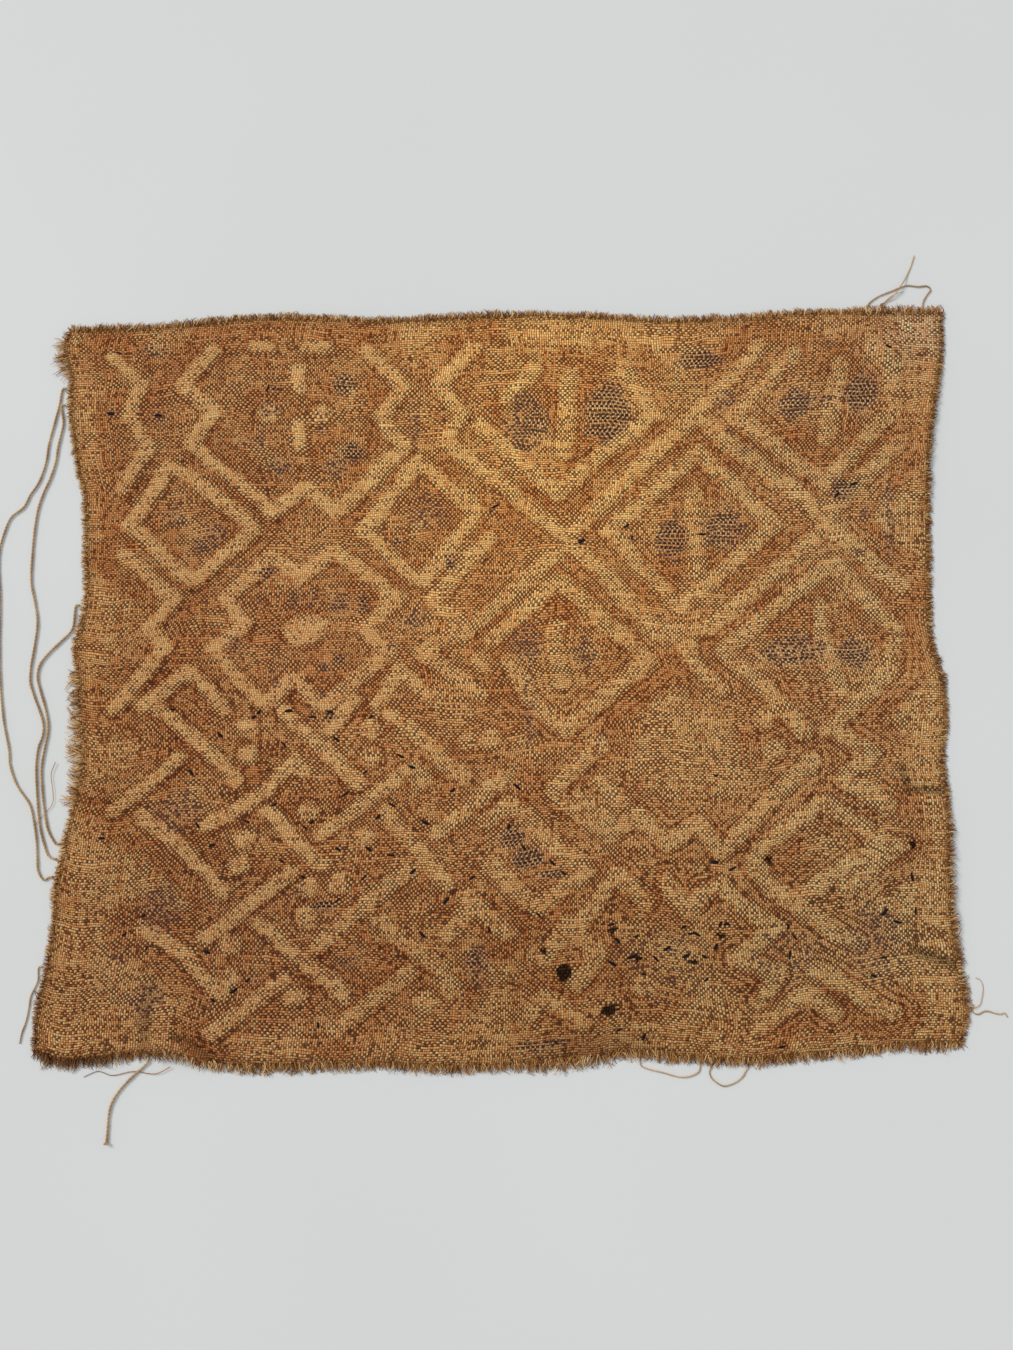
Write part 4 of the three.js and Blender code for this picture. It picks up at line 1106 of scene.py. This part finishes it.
def woven_side(w):
    uv = w.weave_place()
    down = w.parts(uv)[1]
    threads = thread_places(w, uv)
    weave = w.add("ShaderNodeGroup", node_tree=weave_group)
    w.join(w.vector(*threads), weave.inputs["Threads"])
    w.join(w.fade(w.noise(uv, 17.0, 3.0), 0.4, 0.6), weave.inputs["Ribs"])
    weave = weave.outputs
    blotch, patch = w.noise(uv, 60.0, 4.0), w.noise(uv, 13.0, 3.0)
    bands = band_masks(w, uv, down)
    pale = paleness(w, uv, down, threads, weave, bands, blotch, patch)

    colour = w.colour(w.fade(pale, 0.4, 1.02), w.colour(w.fade(pale, -0.15, 0.5), UMBER, OCHRE), STRAW)
    ground = w.times(bands["between"], w.fade(patch, 0.35, 0.65, 0.7, 0.3))
    colour = w.colour(ground, colour, FIELD, "MULTIPLY")
    # Painted shade in the gaps between threads, a little less on the crests.
    colour = w.colour(w.times(weave["Gap"], w.fade(bands["crest"], 0.0, 1.0, 0.95, 0.72)), colour, PAINTED_SHADE)
    colour = dyed(w, colour, threads, weave["Top"])
    stain = w.fade(w.plus(w.mask("stain"), w.times(weave["Speckle"], 0.5)), 0.65, 1.0)
    colour = w.colour(w.times(stain, 0.93), colour, STAINED)
    # Painted shade inside the deep creases.
    colour = w.colour(w.times(w.mask("crease"), 0.6), colour, PAINTED_SHADE)
    dirt = w.times(w.fade(w.mask("rim"), 0.0, 8 * MM, 0.5, 0.0), w.fade(blotch, 0.2, 0.7, 0.6, 1.0))
    colour = w.colour(dirt, colour, DIRT)
    return {"Base Color": w.colour(1.0, colour, w.mask("tone", "Color"), "MULTIPLY"),
            "Roughness": w.fade(weave["Gap"], 0.0, 1.0, 0.58, 0.9), "Specular IOR Level": 0.04,
            "Normal": w.bump(weave["Height"], 0.9, 0.6 * MM)}


# %% [markdown]
# ## The pile side
# The side that lies down can't be seen in use. It is finished plainly, as short cut pile: pale pile along
# the bands of the chart, brown pile between them and dark pile where the dye is. A fine random bump breaks
# it up into tufts, and a little sheen, set on the shader itself, gives the soft rim that velvet has.

# %% The finish of the pile side
PILE = {"field": ("5b3a22", "7d5230"), "band": "b98a4e", "tuft": "2e1d12"}


def pile_side(w):
    uv = w.weave_place()
    tuft = w.dice(*(w.floor(place) for place in thread_places(w, uv)))
    colour = w.colour(w.noise(uv, 30.0, 4.0), *PILE["field"])
    colour = w.colour(w.fade(w.mask("band"), 0.3, 0.7), colour, PILE["band"])
    colour = w.colour(w.times(w.fade(w.mask("dye"), 0.1, 0.5), 0.85), colour, DYE_COLOURS["dark dashes"])
    return {"Base Color": w.colour(w.fade(tuft, 0.0, 1.0, 0.0, 0.45), colour, PILE["tuft"]),
            "Roughness": 0.95, "Sheen Weight": 0.25, "Normal": w.bump(tuft, 0.8, 0.5 * MM)}


cloth.data.materials.append(make_finish("woven raffia", woven_side))
cloth.data.materials.append(make_finish("cut pile", pile_side))
print("cloth finishes:", [m.name for m in cloth.data.materials])

# %% [markdown]
# ## Fibre and yarn
# Frayed raffia runs from darker fibre at the root to pale straw at the tip, and no two fibres match.
# Each fibre carries a shade and a place along its length, and the fringe by the lower left corner is
# grimy. The yarns are the same straw, with painted shade in the groove between the two plies, and slow
# changes along them in object coordinates. Both are dry, with a slight gloss.

# %% The finishes of the fringe, the yarns and the stitches
FIBRE_COLOURS = {"dark": "6e4220", "middle": "c08646", "pale": "f2d096", "root": "5e3818", "grime": "8a5c40"}
# The groove colour is painted shade between the two plies.
YARN_COLOURS = {"slow": ("bd9462", "efcc9a"), "fine": "8f6a42", "groove": "7d5832"}
STITCH_COLOURS = ("0c090c", "241b1d")


def frayed_fibre(w):
    place, along = w.object_place(), w.mask("along")
    shade = w.plus(w.mask("shade"), w.times(w.minus(w.noise(place, 900.0), 0.5), 0.5))
    colour = w.colour(w.fade(shade, 0.1, 0.6), FIBRE_COLOURS["dark"], FIBRE_COLOURS["middle"])
    colour = w.colour(w.fade(shade, 0.55, 0.95), colour, FIBRE_COLOURS["pale"])
    colour = w.colour(w.fade(along, 0.0, 0.5, 0.3, 0.0), colour, FIBRE_COLOURS["root"])
    across, up = w.parts(place)
    grime = w.times(w.fade(across, -0.27, -0.2, 0.8, 0.0), w.fade(up, -0.22, -0.12, 1.0, 0.0),
                    w.fade(along, 0.5, 1.0, 1.0, 0.35))
    return {"Base Color": w.colour(grime, colour, FIBRE_COLOURS["grime"], "MULTIPLY"),
            "Roughness": 0.7, "Specular IOR Level": 0.1}


def twisted_straw(w):
    place = w.object_place()
    fine = w.noise(place, 1600.0)
    colour = w.colour(w.fade(w.noise(place, 55.0, 3.0), 0.3, 0.7), *YARN_COLOURS["slow"])
    colour = w.colour(w.fade(fine, 0.35, 0.75, 0.0, 0.35), colour, YARN_COLOURS["fine"])
    # Painted shade in the groove between the two plies.
    return {"Base Color": w.colour(w.times(w.mask("groove"), 0.65), colour, YARN_COLOURS["groove"]),
            "Roughness": 0.6, "Specular IOR Level": 0.4, "Normal": w.bump(fine, 0.4, 0.1 * MM)}


def dyed_thread(w):
    colour = w.colour(w.noise(w.object_place(), 700.0), *STITCH_COLOURS)
    return {"Base Color": colour, "Roughness": 0.6, "Specular IOR Level": 0.1}


fibre_finish = make_finish("frayed fibre", frayed_fibre)
yarn_finish = make_finish("twisted yarn", twisted_straw)
for piece in FRINGE_PIECES:
    piece.data.materials.append(fibre_finish)
for piece in (*YARN_PIECES, knot):
    piece.data.materials.append(yarn_finish)
stitches.data.materials.append(make_finish("dyed thread", dyed_thread))
print("materials:", len(bpy.data.materials))

# %% [markdown]
# ## The table and the light
# The cloth lies on a plain pale table, which is the stage and no part of the object. The table lies a hair
# below the cloth, so that the two skins are not in one plane. The light is soft daylight from the upper
# left: a wide soft sun gives the low ridges their shade and the yarns their soft shadows, and a pale sky
# fills the rest. The standard view transform keeps the colours as they were set.

# %% Table, lamp and sky
TABLE = {"half": 3.0, "gap": 0.05 * MM, "colours": ("dfdfdc", "e4e5e4")}
SUN = {"from": (-0.85, 0.65, 0.8), "strength": 1.9, "softness": math.radians(22.0),
       "colour": (1.0, 0.97, 0.92)}
SKY = {"colour": (0.9, 0.95, 1.0, 1.0), "strength": 0.56}


def pale_table(w):
    colour = w.colour(w.noise(w.object_place(), 3.0), *TABLE["colours"])
    return {"Base Color": colour, "Roughness": 0.55, "Specular IOR Level": 0.2}


def make_table():
    bm = bmesh.new()
    bmesh.ops.create_grid(bm, x_segments=4, y_segments=4, size=TABLE["half"])
    bmesh.ops.translate(bm, verts=bm.verts[:], vec=(0, 0, -TABLE["gap"]))
    mesh = bpy.data.meshes.new("table")
    bm.to_mesh(mesh)
    bm.free()
    mesh.materials.append(make_finish("pale table", pale_table))
    table = put_in_scene("table", mesh)
    table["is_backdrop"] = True


make_table()
lamp = put_in_scene("daylight", bpy.data.lights.new("daylight", "SUN"))
lamp.rotation_euler = (-Vector(SUN["from"])).to_track_quat("-Z", "Y").to_euler()
lamp.data.angle, lamp.data.energy, lamp.data.color = SUN["softness"], SUN["strength"], SUN["colour"]
sky = bpy.data.worlds.new("sky")
sky.use_nodes = True
background = sky.node_tree.nodes["Background"]
background.inputs["Color"].default_value = SKY["colour"]
background.inputs["Strength"].default_value = SKY["strength"]
bpy.context.scene.world = sky
bpy.context.scene.view_settings.view_transform = "Standard"
print("light from", SUN["from"])

# %% [markdown]
# ## Size, and the end
# The dressed part has to fit the plain one. Both boxes are printed, so that they can be compared.

# %% Print the two boxes and finish
DRESSED_BOX = [list(corner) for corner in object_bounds()]
for name, box in (("plain part", CAD_BOX), ("dressed part", DRESSED_BOX)):
    print(name, [round((high - low) / MM, 1) for low, high in zip(*box)], "mm")
